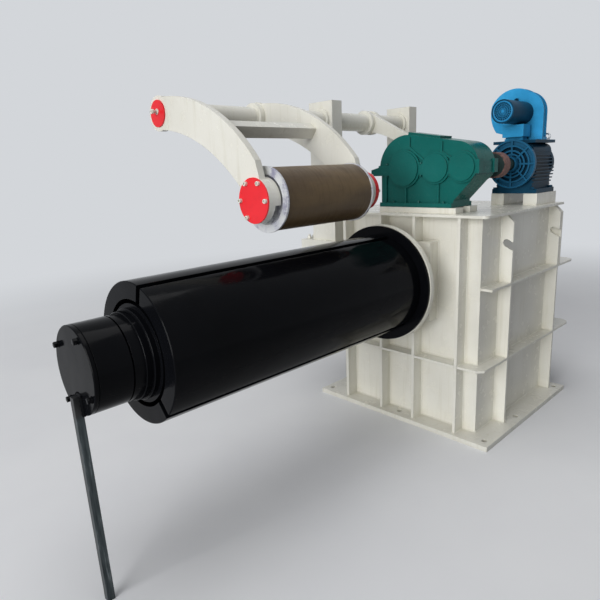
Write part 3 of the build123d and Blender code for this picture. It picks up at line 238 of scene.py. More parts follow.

# %% [markdown]
# Cream goes on the frame and the arm, gloss black on everything that turns with the
# coil, red on the covers, as a warning near moving ends, green on the reducer and blues
# on the motor. One shade each would look like plastic, so every paint has a darker and a
# lighter one beside its own. Pale surroundings mirror strongly in dark gloss, so the
# dark paints have a low specular level.

# %% The machine's enamels
# Each paint's soil colour also darkens its corners, as painted shade with dust.
CREAM = paint("cream_gloss_enamel", ("DAD8CD", "E2E0D6", "E9E8DF"), 0.2, soil_and_shade_colour="B5AF95", corner_dust_and_shade=0.35, runs=0.3)
BLACK = paint(
    "black_gloss_enamel", ("08090B", "0B0C0F", "101114"), 0.1, 0.05, 0.04, 0.25, 0.1, soil_and_shade_colour="1C1B19", corner_dust_and_shade=0.0
)
RED = paint("red_enamel", ("DC1F29", "EA2730", "F0323B"), 0.3, 0.25, soil_and_shade_colour="9A2A2A", corner_dust_and_shade=0.1)
GREEN = paint("green_gloss_enamel", ("0F544E", "145E58", "1B6C66"), 0.22, 0.12, soil_and_shade_colour="0E3834", corner_dust_and_shade=0.4)
BLUE = paint("sky_blue_enamel", ("2478A8", "2C88BC", "3896CA"), 0.28, 0.12, soil_and_shade_colour="12405A", corner_dust_and_shade=0.4)
# A much darker copy of the sky blue for the blower's own motor and the motor bolts: painted shade.
SHADED_BLUE = paint("shaded_blue_enamel", ("10354A", "15425C", "1C5070"), 0.35, 0.05, soil_and_shade_colour="0B1E2C", corner_dust_and_shade=0.7)
GRILLE_BLUE = paint("grille_enamel", ("1B5070", "215F82", "2A6F94"), 0.3, 0.12, soil_and_shade_colour="0E2636", corner_dust_and_shade=0.5)
print("paints:", [m.name for m in bpy.data.materials])

# %% [markdown]
# The roll's sleeve is cast polyurethane, brown and slightly waxy. It has broad stains
# along its length and fine marks round it from the strip. Both could be painted as an
# image, but noise that is drawn out along one direction gives them without a seam, and
# the fine marks then serve as colour, shine and relief at once.

# %% Rubber sleeve
STAIN_MM, MARK_MM, MARK_DEPTH = 150.0, 12.0, 0.5 * MM


def rubber():
    material, tree, shader, where, edge = new_material("brown_polyurethane", EDGE_MM)
    along = add_node(tree, MAPPING, {"Scale": (1, 0.35, 1)}, {"Vector": where}).outputs["Vector"]
    stains = add_node(tree, NOISE, {"Scale": per_mm(STAIN_MM), "Detail": 5.0, "Roughness": 0.6}, {"Vector": along})
    tones = [(0.32, "4A3A28"), (0.5, "5A4932"), (0.7, "6E5A3C")]
    colour = add_node(tree, RAMP, {"stops": tones}, {"Fac": stains.outputs["Fac"]}).outputs["Color"]
    round_it = add_node(tree, MAPPING, {"Scale": (0.15, 1, 0.15)}, {"Vector": where}).outputs["Vector"]
    marks = add_node(tree, NOISE, {"Scale": per_mm(MARK_MM), "Detail": 3.0, "Roughness": FINE}, {"Vector": round_it})
    height = marks.outputs["Fac"]
    amount = add_node(tree, RAMP, {"stops": [(0.5, 0.0), (0.85, 0.35)]}, {"Fac": height}).outputs["Color"]
    layers = {"data_type": "RGBA", OVER: linear("3A2C1E")}
    colour = add_node(tree, MIX, layers, {0: amount, UNDER: colour}).outputs[MIXED]
    gloss = add_node(tree, RAMP, {"stops": [(0.3, 0.34), (0.8, 0.55)]}, {"Fac": height}).outputs["Color"]
    relief = add_node(tree, BUMP, {"Strength": 0.15, "Distance": MARK_DEPTH}, {"Height": height, "Normal": edge})
    wire(tree, shader, {"Base Color": colour, "Roughness": gloss, "Normal": relief.outputs["Normal"]})
    shader.inputs["Specular IOR Level"].default_value = 0.3
    return material


RUBBER = rubber()
print(RUBBER.name, len(RUBBER.node_tree.nodes), "nodes")

# %% [markdown]
# The discs beside the sleeve are painted zinc white. Oily hands leave violet smears on
# them, which also dull their shine in patches. The smears could be a second material
# under a mask, but one noise does for both their tint and their shine. A little metallic
# lets the paint glint as zinc does.

# %% Zinc white
SMEAR_MM = 70.0


def smeared_white():
    material, tree, shader, where, _ = new_material("zinc_white_enamel", EDGE_MM)
    smears = add_node(tree, NOISE, {"Scale": per_mm(SMEAR_MM), "Detail": 4.0, "Roughness": 0.6}, {"Vector": where})
    tones = [(0.35, "9C9CB2"), (0.52, "CDCFD2"), (0.7, "E2E3E2")]
    colour = add_node(tree, RAMP, {"stops": tones}, {"Fac": smears.outputs["Fac"]}).outputs["Color"]
    gloss = add_node(tree, RAMP, {"stops": [(0.3, 0.2), (0.7, 0.4)]}, {"Fac": smears.outputs["Fac"]}).outputs["Color"]
    wire(tree, shader, {"Base Color": colour, "Roughness": gloss})
    shader.inputs["Metallic"].default_value = 0.25
    return material


WHITE = smeared_white()
print(WHITE.name, len(WHITE.node_tree.nodes), "nodes")

# %% [markdown]
# The prop under the drum's end is drawn square bar. It is bare steel with streaks along
# its length, and brushed with black paint only where it is welded to the cap. The bar
# could be cut in two there, but a brushed edge is ragged. So the paint starts at a
# height, and the same streaks that colour the steel shift that height to and fro.

# %% Bare bar
BAR_PAINT_FROM, BAR_PAINT_TO, BAR_RAGGED = 0.67, 0.69, 0.03
STREAK_MM = 9.0


def painted_bar():
    material, tree, shader, where, _ = new_material("drawn_bar_steel", EDGE_MM)
    along = add_node(tree, MAPPING, {"Scale": (1, 1, 0.08)}, {"Vector": where}).outputs["Vector"]
    streaks = add_node(tree, NOISE, {"Scale": per_mm(STREAK_MM), "Detail": 4.0, "Roughness": FINE}, {"Vector": along})
    streaks = streaks.outputs["Fac"]
    tones = [(0.3, "34393B"), (0.6, "4E5557"), (0.8, "8C9294")]
    steel = add_node(tree, RAMP, {"stops": tones}, {"Fac": streaks}).outputs["Color"]
    height = add_node(tree, SPLIT, None, {"Vector": where}).outputs["Z"]
    ragged = add_node(tree, MATH, {"operation": "MULTIPLY_ADD", 1: BAR_RAGGED}, {0: streaks, 2: height})
    limits = {"From Min": BAR_PAINT_FROM, "From Max": BAR_PAINT_TO}
    band = add_node(tree, RANGE, limits, {"Value": ragged.outputs["Value"]}).outputs["Result"]
    layers = {"data_type": "RGBA", OVER: linear("0C0D0F")}
    colour = add_node(tree, MIX, layers, {0: band, UNDER: steel}).outputs[MIXED]
    bare = add_node(tree, RANGE, {"To Min": 1.0, "To Max": 0.0}, {"Value": band}).outputs["Result"]
    gloss = add_node(tree, RAMP, {"stops": [(0.2, 0.3), (0.8, 0.5)]}, {"Fac": streaks}).outputs["Color"]
    wire(tree, shader, {"Base Color": colour, "Metallic": bare, "Roughness": gloss})
    return material


BAR = painted_bar()
print("bar's paint ends between", BAR_PAINT_FROM, "and", BAR_PAINT_TO, "m")

# %% [markdown]
# The coupling drum is cast iron, painted dark green on its face, while its rim has been
# rubbed to rust. The rim's faces could take a material of their own, but wear has no
# sharp border. Where the rust starts depends on the distance from the shaft's axis, so
# the rust is mixed over the paint by that distance, and its grain roughens the border.

# %% Rusty coupling
FAST_X, GEAR_Z = 334.0, 1386.0
RUST_FROM, RUST_FULL, RUST_RAGGED = 63.0, 67.0, 12.0
GRAIN_MM, GRAIN_DEPTH = 16.0, 0.6 * MM


def rim_rust():
    material, tree, shader, where, edge = new_material("rusty_cast_iron", EDGE_MM)
    grain = add_node(tree, NOISE, {"Scale": per_mm(GRAIN_MM), "Detail": 6.0, "Roughness": 0.7}, {"Vector": where})
    grain = grain.outputs["Fac"]
    tones = [(0.3, "4A3030"), (0.55, "7A5A52"), (0.75, "9A7C70")]
    rust = add_node(tree, RAMP, {"stops": tones}, {"Fac": grain}).outputs["Color"]
    parts = add_node(tree, SPLIT, None, {"Vector": where})
    flat = add_node(tree, JOIN, None, {"X": parts.outputs["X"], "Z": parts.outputs["Z"]}).outputs["Vector"]
    axis = {"operation": "DISTANCE", 1: (FAST_X * MM, 0, GEAR_Z * MM)}
    away = add_node(tree, VECTOR_MATH, axis, {0: flat}).outputs["Value"]
    shift = {"operation": "MULTIPLY_ADD", 1: RUST_RAGGED * MM}
    ragged = add_node(tree, MATH, shift, {0: grain, 2: away}).outputs["Value"]
    limits = {"From Min": RUST_FROM * MM, "From Max": RUST_FULL * MM}
    worn = add_node(tree, RANGE, limits, {"Value": ragged}).outputs["Result"]
    layers = {"data_type": "RGBA", UNDER: linear("1A3231")}
    colour = add_node(tree, MIX, layers, {0: worn, OVER: rust}).outputs[MIXED]
    gloss = add_node(tree, RAMP, {"stops": [(0.2, 0.45), (0.8, 0.8)]}, {"Fac": grain}).outputs["Color"]
    relief = add_node(tree, BUMP, {"Strength": 0.4, "Distance": GRAIN_DEPTH}, {"Height": grain, "Normal": edge})
    wire(tree, shader, {"Base Color": colour, "Roughness": gloss, "Normal": relief.outputs["Normal"]})
    return material


CAST = rim_rust()
print("rust starts", RUST_FROM, "mm from the shaft's axis")

# %% [markdown]
# The roll's core and the lifting eye are zinc plated. An even grey metal would mirror
# like chrome. Plating is bright but slightly cloudy, so both its grey and its shine vary
# in spots of a few millimetres.

# %% Zinc plating
BLOOM_MM = 8.0


def zinc():
    material, tree, shader, where, _ = new_material("zinc_plated_steel")
    bloom = add_node(tree, NOISE, {"Scale": per_mm(BLOOM_MM), "Detail": 4.0, "Roughness": FINE}, {"Vector": where})
    bloom = bloom.outputs["Fac"]
    colour = add_node(tree, RAMP, {"stops": [(0.3, "9A9DA0"), (0.7, "C6C9CC")]}, {"Fac": bloom}).outputs["Color"]
    gloss = add_node(tree, RAMP, {"stops": [(0.3, 0.25), (0.8, 0.45)]}, {"Fac": bloom}).outputs["Color"]
    wire(tree, shader, {"Base Color": colour, "Roughness": gloss})
    shader.inputs["Metallic"].default_value = 1.0
    return material


ZINC = zinc()
print(ZINC.name, len(ZINC.node_tree.nodes), "nodes")

# %% [markdown]
# Everything above the motor's saddle is light blue and everything below is dark. The dark
# tone is partly the drive motor's own darker blue and partly painted shade, as the motor
# sits under the blower with its sides away from the light. Two materials would need the
# mesh cut in two, so one material mixes both by height. Its corners are darkened by
# ambient occlusion, which is painted shade as well.

# %% Blue with painted shade below the saddle
SADDLE_Z, TONE_EDGE = 1.508, 0.004
CASTING_MM = 150.0


def blue_shaded_below():
    material, tree, shader, where, edge = new_material("blue_with_painted_shade_below", EDGE_MM)
    height = add_node(tree, SPLIT, None, {"Vector": where}).outputs["Z"]
    limits = {"From Min": SADDLE_Z, "From Max": SADDLE_Z + TONE_EDGE}
    above = add_node(tree, RANGE, limits, {"Value": height}).outputs["Result"]
    coat = add_node(tree, NOISE, {"Scale": per_mm(CASTING_MM), "Detail": 4.0, "Roughness": FINE}, {"Vector": where})
    coat = coat.outputs["Fac"]
    tones = [(0.3, "2C88BA"), (0.5, "3699CE"), (0.72, "44A8DC")]
    light = add_node(tree, RAMP, {"stops": tones}, {"Fac": coat}).outputs["Color"]
    # The lower, dark tone: the motor's own blue, darkened further as painted shade.
    tones = [(0.3, "0E2E40"), (0.5, "13394F"), (0.72, "19465F")]
    dark = add_node(tree, RAMP, {"stops": tones}, {"Fac": coat}).outputs["Color"]
    both = {0: above, UNDER: dark, OVER: light}
    colour = add_node(tree, MIX, {"data_type": "RGBA"}, both).outputs[MIXED]
    # Corners darkened by ambient occlusion: painted shade.
    corner = add_node(tree, CORNERS, {"samples": 6, "Distance": CORNER_MM * MM}).outputs["AO"]
    shade = add_node(tree, RAMP, {"stops": [(0.25, 0.7), (0.75, 0.0)]}, {"Fac": corner}).outputs["Color"]
    layers = {"data_type": "RGBA", OVER: linear("0B1A26")}
    colour = add_node(tree, MIX, layers, {0: shade, UNDER: colour}).outputs[MIXED]
    gloss = add_node(tree, RAMP, {"stops": [(0.3, 0.28), (0.8, 0.4)]}, {"Fac": coat}).outputs["Color"]
    fine = add_node(tree, NOISE, {"Scale": per_mm(PEEL_MM), "Detail": 2.0, "Roughness": FINE}, {"Vector": where})
    links = {"Height": fine.outputs["Fac"], "Normal": edge}
    relief = add_node(tree, BUMP, {"Strength": 0.08, "Distance": PEEL_DEPTH}, links).outputs["Normal"]
    wire(tree, shader, {"Base Color": colour, "Roughness": gloss, "Normal": relief})
    shader.inputs["Specular IOR Level"].default_value = 0.06
    return material


BLUE_SHADED_BELOW = blue_shaded_below()
print("light blue above z", SADDLE_Z, "m; materials:", len(bpy.data.materials))

# %% [markdown]
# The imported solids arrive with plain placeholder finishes. Each one keeps its shape and
# only takes a material. They could be dressed one by one, but the record names a slot
# for every node, so a short table from slot to finish dresses all of them at once, and
# a second one names the few pieces that differ from their slot.

# %% Dress the nodes
FINISH = {
    "cream_paint": CREAM,
    "black_paint": BLACK,
    "bar_steel": BAR,
    "red_paint": RED,
    "roll_steel": ZINC,
    "white_paint": WHITE,
    "brown_rubber": RUBBER,
    "green_paint": GREEN,
    "coupling_steel": CAST,
    "blue_paint": BLUE,
}
OWN_FINISH = {
    "motor_grille": GRILLE_BLUE,
    "motor_frame": BLUE_SHADED_BELOW,
    "blower_housing": BLUE_SHADED_BELOW,
    # The blower's motor has the scroll's blue. Its darker copy is painted shade.
    "blower_motor": SHADED_BLUE,
}
for part in frame["record"]["subparts"]:
    node = NODES[part["node"]]
    node.data.materials.clear()
    node.data.materials.append(OWN_FINISH.get(part["node"], FINISH[part["material_slot"]]))

# %% [markdown]
# Washers, studs and covers are turned on a lathe. A turned shape could be a stack of
# cylinders, but a spun profile gives threads, chamfers and sockets in one operator. It is
# made once as a pattern, standing on its own +Z, and stamped in place where it is needed.
# A spin leaves a seam and may face inwards, so both are put right straight after it.

# %% Turned patterns
LATHE_STEPS = 20
SEAM_GAP = 1e-6


def pattern_of(shape):
    """The bmesh as a pattern mesh. The bmesh is freed."""
    pattern = bpy.data.meshes.new("pattern")
    shape.to_mesh(pattern)
    shape.free()
    return pattern


def full_turn(shape, geometry, steps):
    """Spins a line right round +Z, closes its seam and turns its faces outwards."""
    bmesh.ops.spin(shape, geom=geometry, axis=(0, 0, 1), angle=2 * math.pi, steps=steps, use_merge=True)
    bmesh.ops.remove_doubles(shape, verts=shape.verts, dist=SEAM_GAP)
    bmesh.ops.recalc_face_normals(shape, faces=shape.faces)


def radial_line(shape, profile):
    """Vertices and edges along a profile of (radius, height) in mm."""
    line = [shape.verts.new((r * MM, 0, h * MM)) for r, h in profile]
    return line + [shape.edges.new(pair) for pair in zip(line, line[1:])]


def turned(profile, steps=LATHE_STEPS):
    """Lathe-turned pattern, its profile given from pole to pole or as a closed ring."""
    shape = bmesh.new()
    full_turn(shape, radial_line(shape, profile), steps)
    return pattern_of(shape)


def thread(radius, length, pitch):
    """Threaded stud pattern with a chamfered tip. Its ridges are rings, not a helix, which looks alike at this size."""
    ridges = [(radius - (pitch * 0.3 if n % 2 else 0), pitch / 2 * n) for n in range(int(2 * length / pitch))]
    return turned([(0, 0), *ridges, (radius - pitch * 0.6, length), (0, length)])


WASHER_12 = turned([(0, 0), (12, 0), (12, 2), (11.4, 2.5), (0, 2.5)])
print("washer:", len(WASHER_12.polygons), "faces")

# %% [markdown]
# Nuts and bolt heads are forged hexagons whose top corners are turned off. The hexagon is
# a cone operator with six sides and no taper, and a small bevel on its top edge stands
# for the turned corners. A whole bolt could be one mesh per place. Here its layers are
# stacked into one pattern, which is then stamped wherever the machine has that bolt.

# %% Hexagons, stacks and stamps
TOP_SHARE = 0.9


def hexagon(across, height, chamfer):
    """Hexagon pattern of this width across flats, its top edge taken off by the chamfer."""
    shape = bmesh.new()
    radius = across / math.sqrt(3) * MM
    lift = Matrix.Translation((0, 0, height * MM / 2))
    bmesh.ops.create_cone(
        shape, cap_ends=True, segments=6, radius1=radius, radius2=radius, depth=height * MM, matrix=lift
    )
    top = [e for e in shape.edges if min(v.co.z for v in e.verts) > height * MM * TOP_SHARE]
    bmesh.ops.bevel(shape, geom=top, offset=chamfer * MM, segments=2, profile=0.5, affect="EDGES", material=-1)
    return pattern_of(shape)


def stamp(shape, pattern, at, facing=(0, 0, 1), turn=0.0):
    """Adds a copy of a pattern, its +Z turned to facing, at a place in mm."""
    aim = Vector(facing).to_track_quat("Z", "Y").to_matrix().to_4x4()
    copy = pattern.copy()
    copy.transform(Matrix.Translation(Vector(at) * MM) @ aim @ Matrix.Rotation(turn, 4, "Z"))
    shape.from_mesh(copy)
    bpy.data.meshes.remove(copy)


def stacked(*layers):
    """One pattern from several, each given as (pattern, height in mm)."""
    shape = bmesh.new()
    for pattern, height in layers:
        stamp(shape, pattern, (0, 0, height))
    return pattern_of(shape)


BOLT_12 = stacked((WASHER_12, 0), (hexagon(18, 8, 1.2), 2.5))
print("bolt of 12 mm:", len(BOLT_12.polygons), "faces")

# %% [markdown]
# Every new piece ends the same way: its mesh takes a finish, is shaded smooth but for its
# sharp edges, and rides on one body of the mechanism. The object stays at the origin with
# its place in its mesh, so that patterns on object coordinates don't slide.

# %% Finished pieces
FRONT, REAR, DOWN = (0, -1, 0), (0, 1, 0), (0, 0, -1)
EDGE_ANGLE, BEAD_ANGLE = 35, 60


def piece(name, shape, material, body, sharp=EDGE_ANGLE):
    """Finished object from a bmesh. It rides on a body and takes the given finish."""
    mesh = bpy.data.meshes.new(name)
    shape.to_mesh(mesh)
    shape.free()
    mesh.materials.append(material)
    mesh.shade_smooth()
    mesh.set_sharp_from_angle(angle=math.radians(sharp))
    obj = bpy.data.objects.new(name, mesh)
    bpy.context.collection.objects.link(obj)
    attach(obj, body)
    print(name, len(mesh.polygons), "faces")
    return obj


def around(centre, radius, turn, y):
    """Place in mm at an angle and radius round the centre (x, z) of a shaft."""
    return Vector((centre[0] + radius * math.cos(turn), y, centre[1] + radius * math.sin(turn)))


print("edges stay sharp above", EDGE_ANGLE, "degrees, on beads above", BEAD_ANGLE)

# %% [markdown]
# The drum is what the strip is wound on: three thick steel shells that slide outwards to
# grip the coil. They end in flat faces, with the straight gaps between them open to the
# front. Each shell is its section, spun through a third of a turn and then cut along both
# gaps by a plane, because a spin alone would leave gaps that narrow towards the shaft. The
# cut ends are closed again. They stand for the solid shells, whose free end is bevelled
# and runs 35 mm further.

# %% Drum shells
DRUM_AT = (0.0, 813.0)
DRUM_REAR, DRUM_FRONT = -641.0, -2000.0
DRUM_R, SHELL_T, SHELL_EDGE = 254.0, 62.0, 3.0
SHELLS, GAP_TURN, SHELL_GAP = 3, 74.0, 25.8
SHELL_STEPS = 40
AXIS = Vector((0, 0, DRUM_AT[1])) * MM


def drum_shell(n):
    """One of the shells, counted clockwise from the gap near the top, as the front shows them."""
    sector = math.pi / SHELLS
    middle = math.radians(GAP_TURN) - sector * (2 * n + 1)
    inner_r = DRUM_R - SHELL_T
    section = (
        (inner_r, DRUM_REAR), (DRUM_R, DRUM_REAR), (DRUM_R, DRUM_FRONT + SHELL_EDGE),
        (DRUM_R - SHELL_EDGE, DRUM_FRONT), (inner_r, DRUM_FRONT),
    )
    shape = bmesh.new()
    ring = [shape.verts.new(around(DRUM_AT, r, middle - sector, y) * MM) for r, y in section]
    edges = [shape.edges.new(pair) for pair in zip(ring, ring[1:] + ring[:1])]
    bmesh.ops.spin(shape, geom=ring + edges, cent=AXIS, axis=FRONT, angle=2 * sector, steps=SHELL_STEPS)
    for side in (-1, 1):
        turn = middle + side * sector
        outward = Vector((-math.sin(turn), 0, math.cos(turn))) * side
        geometry = [*shape.verts, *shape.edges, *shape.faces]
        cut = AXIS - outward * SHELL_GAP / 2 * MM
        bmesh.ops.bisect_plane(shape, geom=geometry, plane_co=cut, plane_no=outward, clear_outer=True)
    bmesh.ops.holes_fill(shape, edges=[e for e in shape.edges if e.is_boundary], sides=0)
    bmesh.ops.recalc_face_normals(shape, faces=shape.faces)
    return shape


for n in range(SHELLS):
    shell = piece(f"drum_shell_{n + 1}", drum_shell(n), BLACK, f"segment_{n + 1}")
    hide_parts(f"drum_segment_{n + 1}")

# %% [markdown]
# In front of the shells the shaft carries a flange and a clamping collar, which keep the
# shells from sliding off. Both are turned, so their section is spun as one closed ring.
# The collar's rims catch the light as two thin arcs behind the cap.

# %% Clamping collar
SHAFT_R, FLANGE_R, STEP_R, COLLAR_R = 150.3, 176.0, 162.0, 155.0
COLLAR_STEPS = 96
collar_pattern = turned(
    [
        (SHAFT_R, -20), (FLANGE_R, -20), (FLANGE_R, -2), (STEP_R, -2), (STEP_R, 16), (STEP_R - 2, 18), (COLLAR_R, 18),
        (COLLAR_R, 41), (COLLAR_R - 2, 43), (SHAFT_R, 43), (SHAFT_R, -20),
    ],
    COLLAR_STEPS,
)
shape = bmesh.new()
stamp(shape, collar_pattern, (DRUM_AT[0], DRUM_FRONT, DRUM_AT[1]), FRONT)
collar = piece("clamping_collar", shape, BLACK, "mandrel")
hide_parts("end_ring")

# %% [markdown]
# The end cap is closed with four hexagon bolts. They stand out of its flat face, near its
# edge, and are painted over with it. No two bolts stop at the same angle when they are
# tightened, so each head is turned a little further than the last.

# %% Cap bolts
CAP_FRONT = -2213.0
CAP_BOLTS, CAP_BOLT_R, CAP_BOLT_TURN = 4, 131.0, 60.0
CAP_BOLT = stacked((WASHER_12, 0), (hexagon(19, 13, 1.5), 2.5))
shape = bmesh.new()
for n in range(CAP_BOLTS):
    turn = math.radians(CAP_BOLT_TURN + 360 / CAP_BOLTS * n)
    stamp(shape, CAP_BOLT, around(DRUM_AT, CAP_BOLT_R, turn, CAP_FRONT), FRONT, n)
piece("cap_bolts", shape, BLACK, "pedestal")

# %% [markdown]
# Plates that meet at a right angle are joined by a fillet weld, a round bead with fine
# ripples across it. A bead is a six-sided rod that lies half sunk in the corner: it is cut
# into short rings, and every other ring is a little thinner. A bump map could draw the
# ripples, but then the corner's outline would stay sharp from close by. The rings are
# 9 mm apart, coarser than real ripples of 2 to 3 mm, so that they show at this distance.

# %% Weld beads
BEAD_R, RIPPLE, RIPPLE_MM = 5.0, 0.88, 9.0


def bead(shape, start, end, radius=BEAD_R, ripple=RIPPLE, pitch=RIPPLE_MM):
    """Adds a weld bead from start to end, in mm."""
    start, end = Vector(start) * MM, Vector(end) * MM
    run = end - start
    rod = bmesh.new()
    bmesh.ops.create_cone(
        rod, cap_ends=True, segments=6, radius1=radius * MM, radius2=radius * MM, depth=run.length
    )
    rings = max(2, round(run.length / (pitch * MM)))
    lengthwise = [e for e in rod.edges if abs(e.verts[0].co.z - e.verts[1].co.z) > run.length / 2]
    bmesh.ops.subdivide_edges(rod, edges=lengthwise, cuts=rings - 1, use_grid_fill=True)
    for v in rod.verts:
        ring = round((v.co.z / run.length + 0.5) * rings)
        thin = ripple if ring % 2 else 1.0
        v.co.x *= thin
        v.co.y *= thin
    aim = run.to_track_quat("Z", "Y").to_matrix().to_4x4()
    bmesh.ops.transform(rod, matrix=Matrix.Translation((start + end) / 2) @ aim, verts=rod.verts)
    pattern = pattern_of(rod)
    shape.from_mesh(pattern)
    bpy.data.meshes.remove(pattern)


print("a bead is", 2 * BEAD_R, "mm thick, with a ring every", RIPPLE_MM, "mm")

# %% [markdown]
# The pedestal is a box of plates with ribs outside it. Its beads run up both sides of
# every rib, round the box at the base plate and the shelves, and under the deck. They
# could be found from the mesh's inner edges, but they are listed from the same plate
# sizes as the box itself, which is shorter and puts each one exactly in its corner.

# %% Beads on the pedestal
BOX_X, BOX_FRONT, BOX_REAR = 442.0, -401.0, 445.0
RIB_X, RIB_FRONT, RIB_HALF = 504.5, -480.0, 8.0
BASE_T, DECK_Z = 25.0, 1149.0
LOW_SHELF, HIGH_SHELF = (386.0, 398.0), (788.0, 800.0)
BLOCK_Z, BLOCK_X = (607.0, 1019.0), 206.0
FRONT_RIBS = (-361.5, -107.0, 107.0, 361.5)
HOOK_RIBS = (-193.0, 412.5)
THIN_BEAD, BLOCK_BEAD = 4.0, 7.0
LOW_SPAN = (BASE_T, LOW_SHELF[0])
SIDE_LEVELS = (BASE_T, *LOW_SHELF, *HIGH_SHELF)
shape = bmesh.new()
for x in FRONT_RIBS:
    spans = [LOW_SPAN, (LOW_SHELF[1], DECK_Z)]
    if abs(x) < BLOCK_X:
        spans = [LOW_SPAN, (LOW_SHELF[1], BLOCK_Z[0]), (BLOCK_Z[1], DECK_Z)]
    for side in (-RIB_HALF, RIB_HALF):
        for low, high in spans:
            bead(shape, (x + side, BOX_FRONT, low), (x + side, BOX_FRONT, high))
        for z in (BASE_T, *LOW_SHELF):
            bead(shape, (x + side, RIB_FRONT, z), (x + side, BOX_FRONT, z), THIN_BEAD)
for side in (-1, 1):
    for y in HOOK_RIBS:
        for face in (-RIB_HALF, RIB_HALF):
            for low, high in (LOW_SPAN, (LOW_SHELF[1], HIGH_SHELF[0]), (HIGH_SHELF[1], DECK_Z)):
                bead(shape, (side * BOX_X, y + face, low), (side * BOX_X, y + face, high))
            for z in SIDE_LEVELS:
                bead(shape, (side * BOX_X, y + face, z), (side * RIB_X, y + face, z), THIN_BEAD)
    for z in SIDE_LEVELS:
        bead(shape, (side * BOX_X, BOX_FRONT, z), (side * BOX_X, BOX_REAR, z))
for z in (BASE_T, *LOW_SHELF):
    bead(shape, (-BOX_X, BOX_FRONT, z), (BOX_X, BOX_FRONT, z))
for z in (BASE_T, *LOW_SHELF, HIGH_SHELF[0]):
    bead(shape, (-BOX_X, BOX_REAR, z), (BOX_X, BOX_REAR, z))
for z in BLOCK_Z:
    bead(shape, (-BLOCK_X, BOX_FRONT, z), (BLOCK_X, BOX_FRONT, z), BLOCK_BEAD)
for x in (-BLOCK_X, BLOCK_X):
    bead(shape, (x, BOX_FRONT, BLOCK_Z[0]), (x, BOX_FRONT, BLOCK_Z[1]), BLOCK_BEAD)
piece("pedestal_welds", shape, CREAM, "pedestal", BEAD_ANGLE)

# %% [markdown]
# The bar that props the drum's end is tacked to the cap with two rough, blackened runs
# beside it and one over its top. A tack made by hand is lumpier than a long seam, so the
# same bead is thicker here and its ripple deeper. The side runs lean with the bar.

# %% Weld at the prop bar
BAR_X, BAR_TOP_Z, BAR_LEAN = (0.0, 26.0), 733.0, 48.0 / 733.0
TACK_DROP, TACK_SHIFT, TACK_PAST = 68.0, 72.0 * BAR_LEAN, 6.0
TACK_R, TOP_TACK_R, TACK_RIPPLE, TACK_PITCH = 9.0, 8.0, 0.7, 8.0
shape = bmesh.new()
for x in BAR_X:
    low = (x + TACK_SHIFT, CAP_FRONT, BAR_TOP_Z - TACK_DROP)
    bead(shape, (x, CAP_FRONT, BAR_TOP_Z), low, TACK_R, TACK_RIPPLE, TACK_PITCH)
left, right = (BAR_X[0] - TACK_PAST, CAP_FRONT, BAR_TOP_Z), (BAR_X[1] + TACK_PAST, CAP_FRONT, BAR_TOP_Z)
bead(shape, left, right, TOP_TACK_R, TACK_RIPPLE, TACK_PITCH)
piece("bar_weld", shape, BLACK, "pedestal", BEAD_ANGLE)

# %% [markdown]
# Red covers close the ends of the arm's shaft and the roll's bearings. The front roll
# cover has lost one of its six screws, so its lowest right place stays empty. One longer
# stud with a ring nut sits in the middle of the pivot cover. The hole for the key in each
# socket screw is part of its turned profile, which dips at the middle.

# %% Screws on the red covers
ROLL_AT, PIVOT_AT = (39.0, 1296.0), (-620.0, 1686.0)
COVER_FRONT, COVER_REAR = -1471.0, -789.0
COVER_SCREWS, COVER_SCREW_R, MISSING_SCREW = 6, 76.0, 5
STUD_OFF = (2.0, 8.0)
SOCKET_12 = turned([(0, 0), (9, 0), (9, 10.5), (8, 11.8), (5, 11.8), (5, 5), (0, 5)])
RING_STUD = turned([(0, 0), (13, 0), (13, 4), (7, 5), (7, 20), (11, 21), (11, 31), (5, 31), (5, 26), (0, 26)])
shape = bmesh.new()
for n in range(COVER_SCREWS):
    turn = 2 * math.pi / COVER_SCREWS * n
    if n != MISSING_SCREW:
        stamp(shape, SOCKET_12, around(ROLL_AT, COVER_SCREW_R, turn, COVER_FRONT), FRONT)
    stamp(shape, SOCKET_12, around(ROLL_AT, COVER_SCREW_R, turn, COVER_REAR), REAR)
stamp(shape, RING_STUD, (PIVOT_AT[0] + STUD_OFF[0], COVER_FRONT, PIVOT_AT[1] + STUD_OFF[1]), FRONT)
piece("cover_screws", shape, CREAM, "hold_down_arm")

# %% [markdown]
# Behind the rear arm plate the roll's bearing housing stands out, with a deep red cover
# over it. Both are turned, and only a sliver of them shows past the roll's end. Their
# outer edges are chamfered, because a sharp edge would show no highlight.

# %% Rear bearing housing
HOUSING_Y = -852.0
HOUSING_STEPS = 64


def turned_disc(radius, thickness, chamfer):
    """Thick disc with a chamfer at its far edge."""
    edge = [(radius, thickness - chamfer), (radius - chamfer, thickness)]
    return turned([(0, 0), (radius, 0), *edge, (0, thickness)], HOUSING_STEPS)


HOUSING_L = 35.0
shape = bmesh.new()
stamp(shape, turned_disc(91.0, HOUSING_L, 3.0), (ROLL_AT[0], HOUSING_Y, ROLL_AT[1]), REAR)
piece("rear_bearing_housing", shape, CREAM, "hold_down_arm")
shape = bmesh.new()
stamp(shape, turned_disc(89.0, 28.0, 4.0), (ROLL_AT[0], HOUSING_Y + HOUSING_L, ROLL_AT[1]), REAR)
piece("rear_bearing_cover", shape, RED, "hold_down_arm")

# %% [markdown]
# The arm is a weldment too, and its plates and collars are welded to the shaft that it
# swings on. A straight bead can't follow the shaft, so each of these seams is a small
# bulging section, spun once round it.

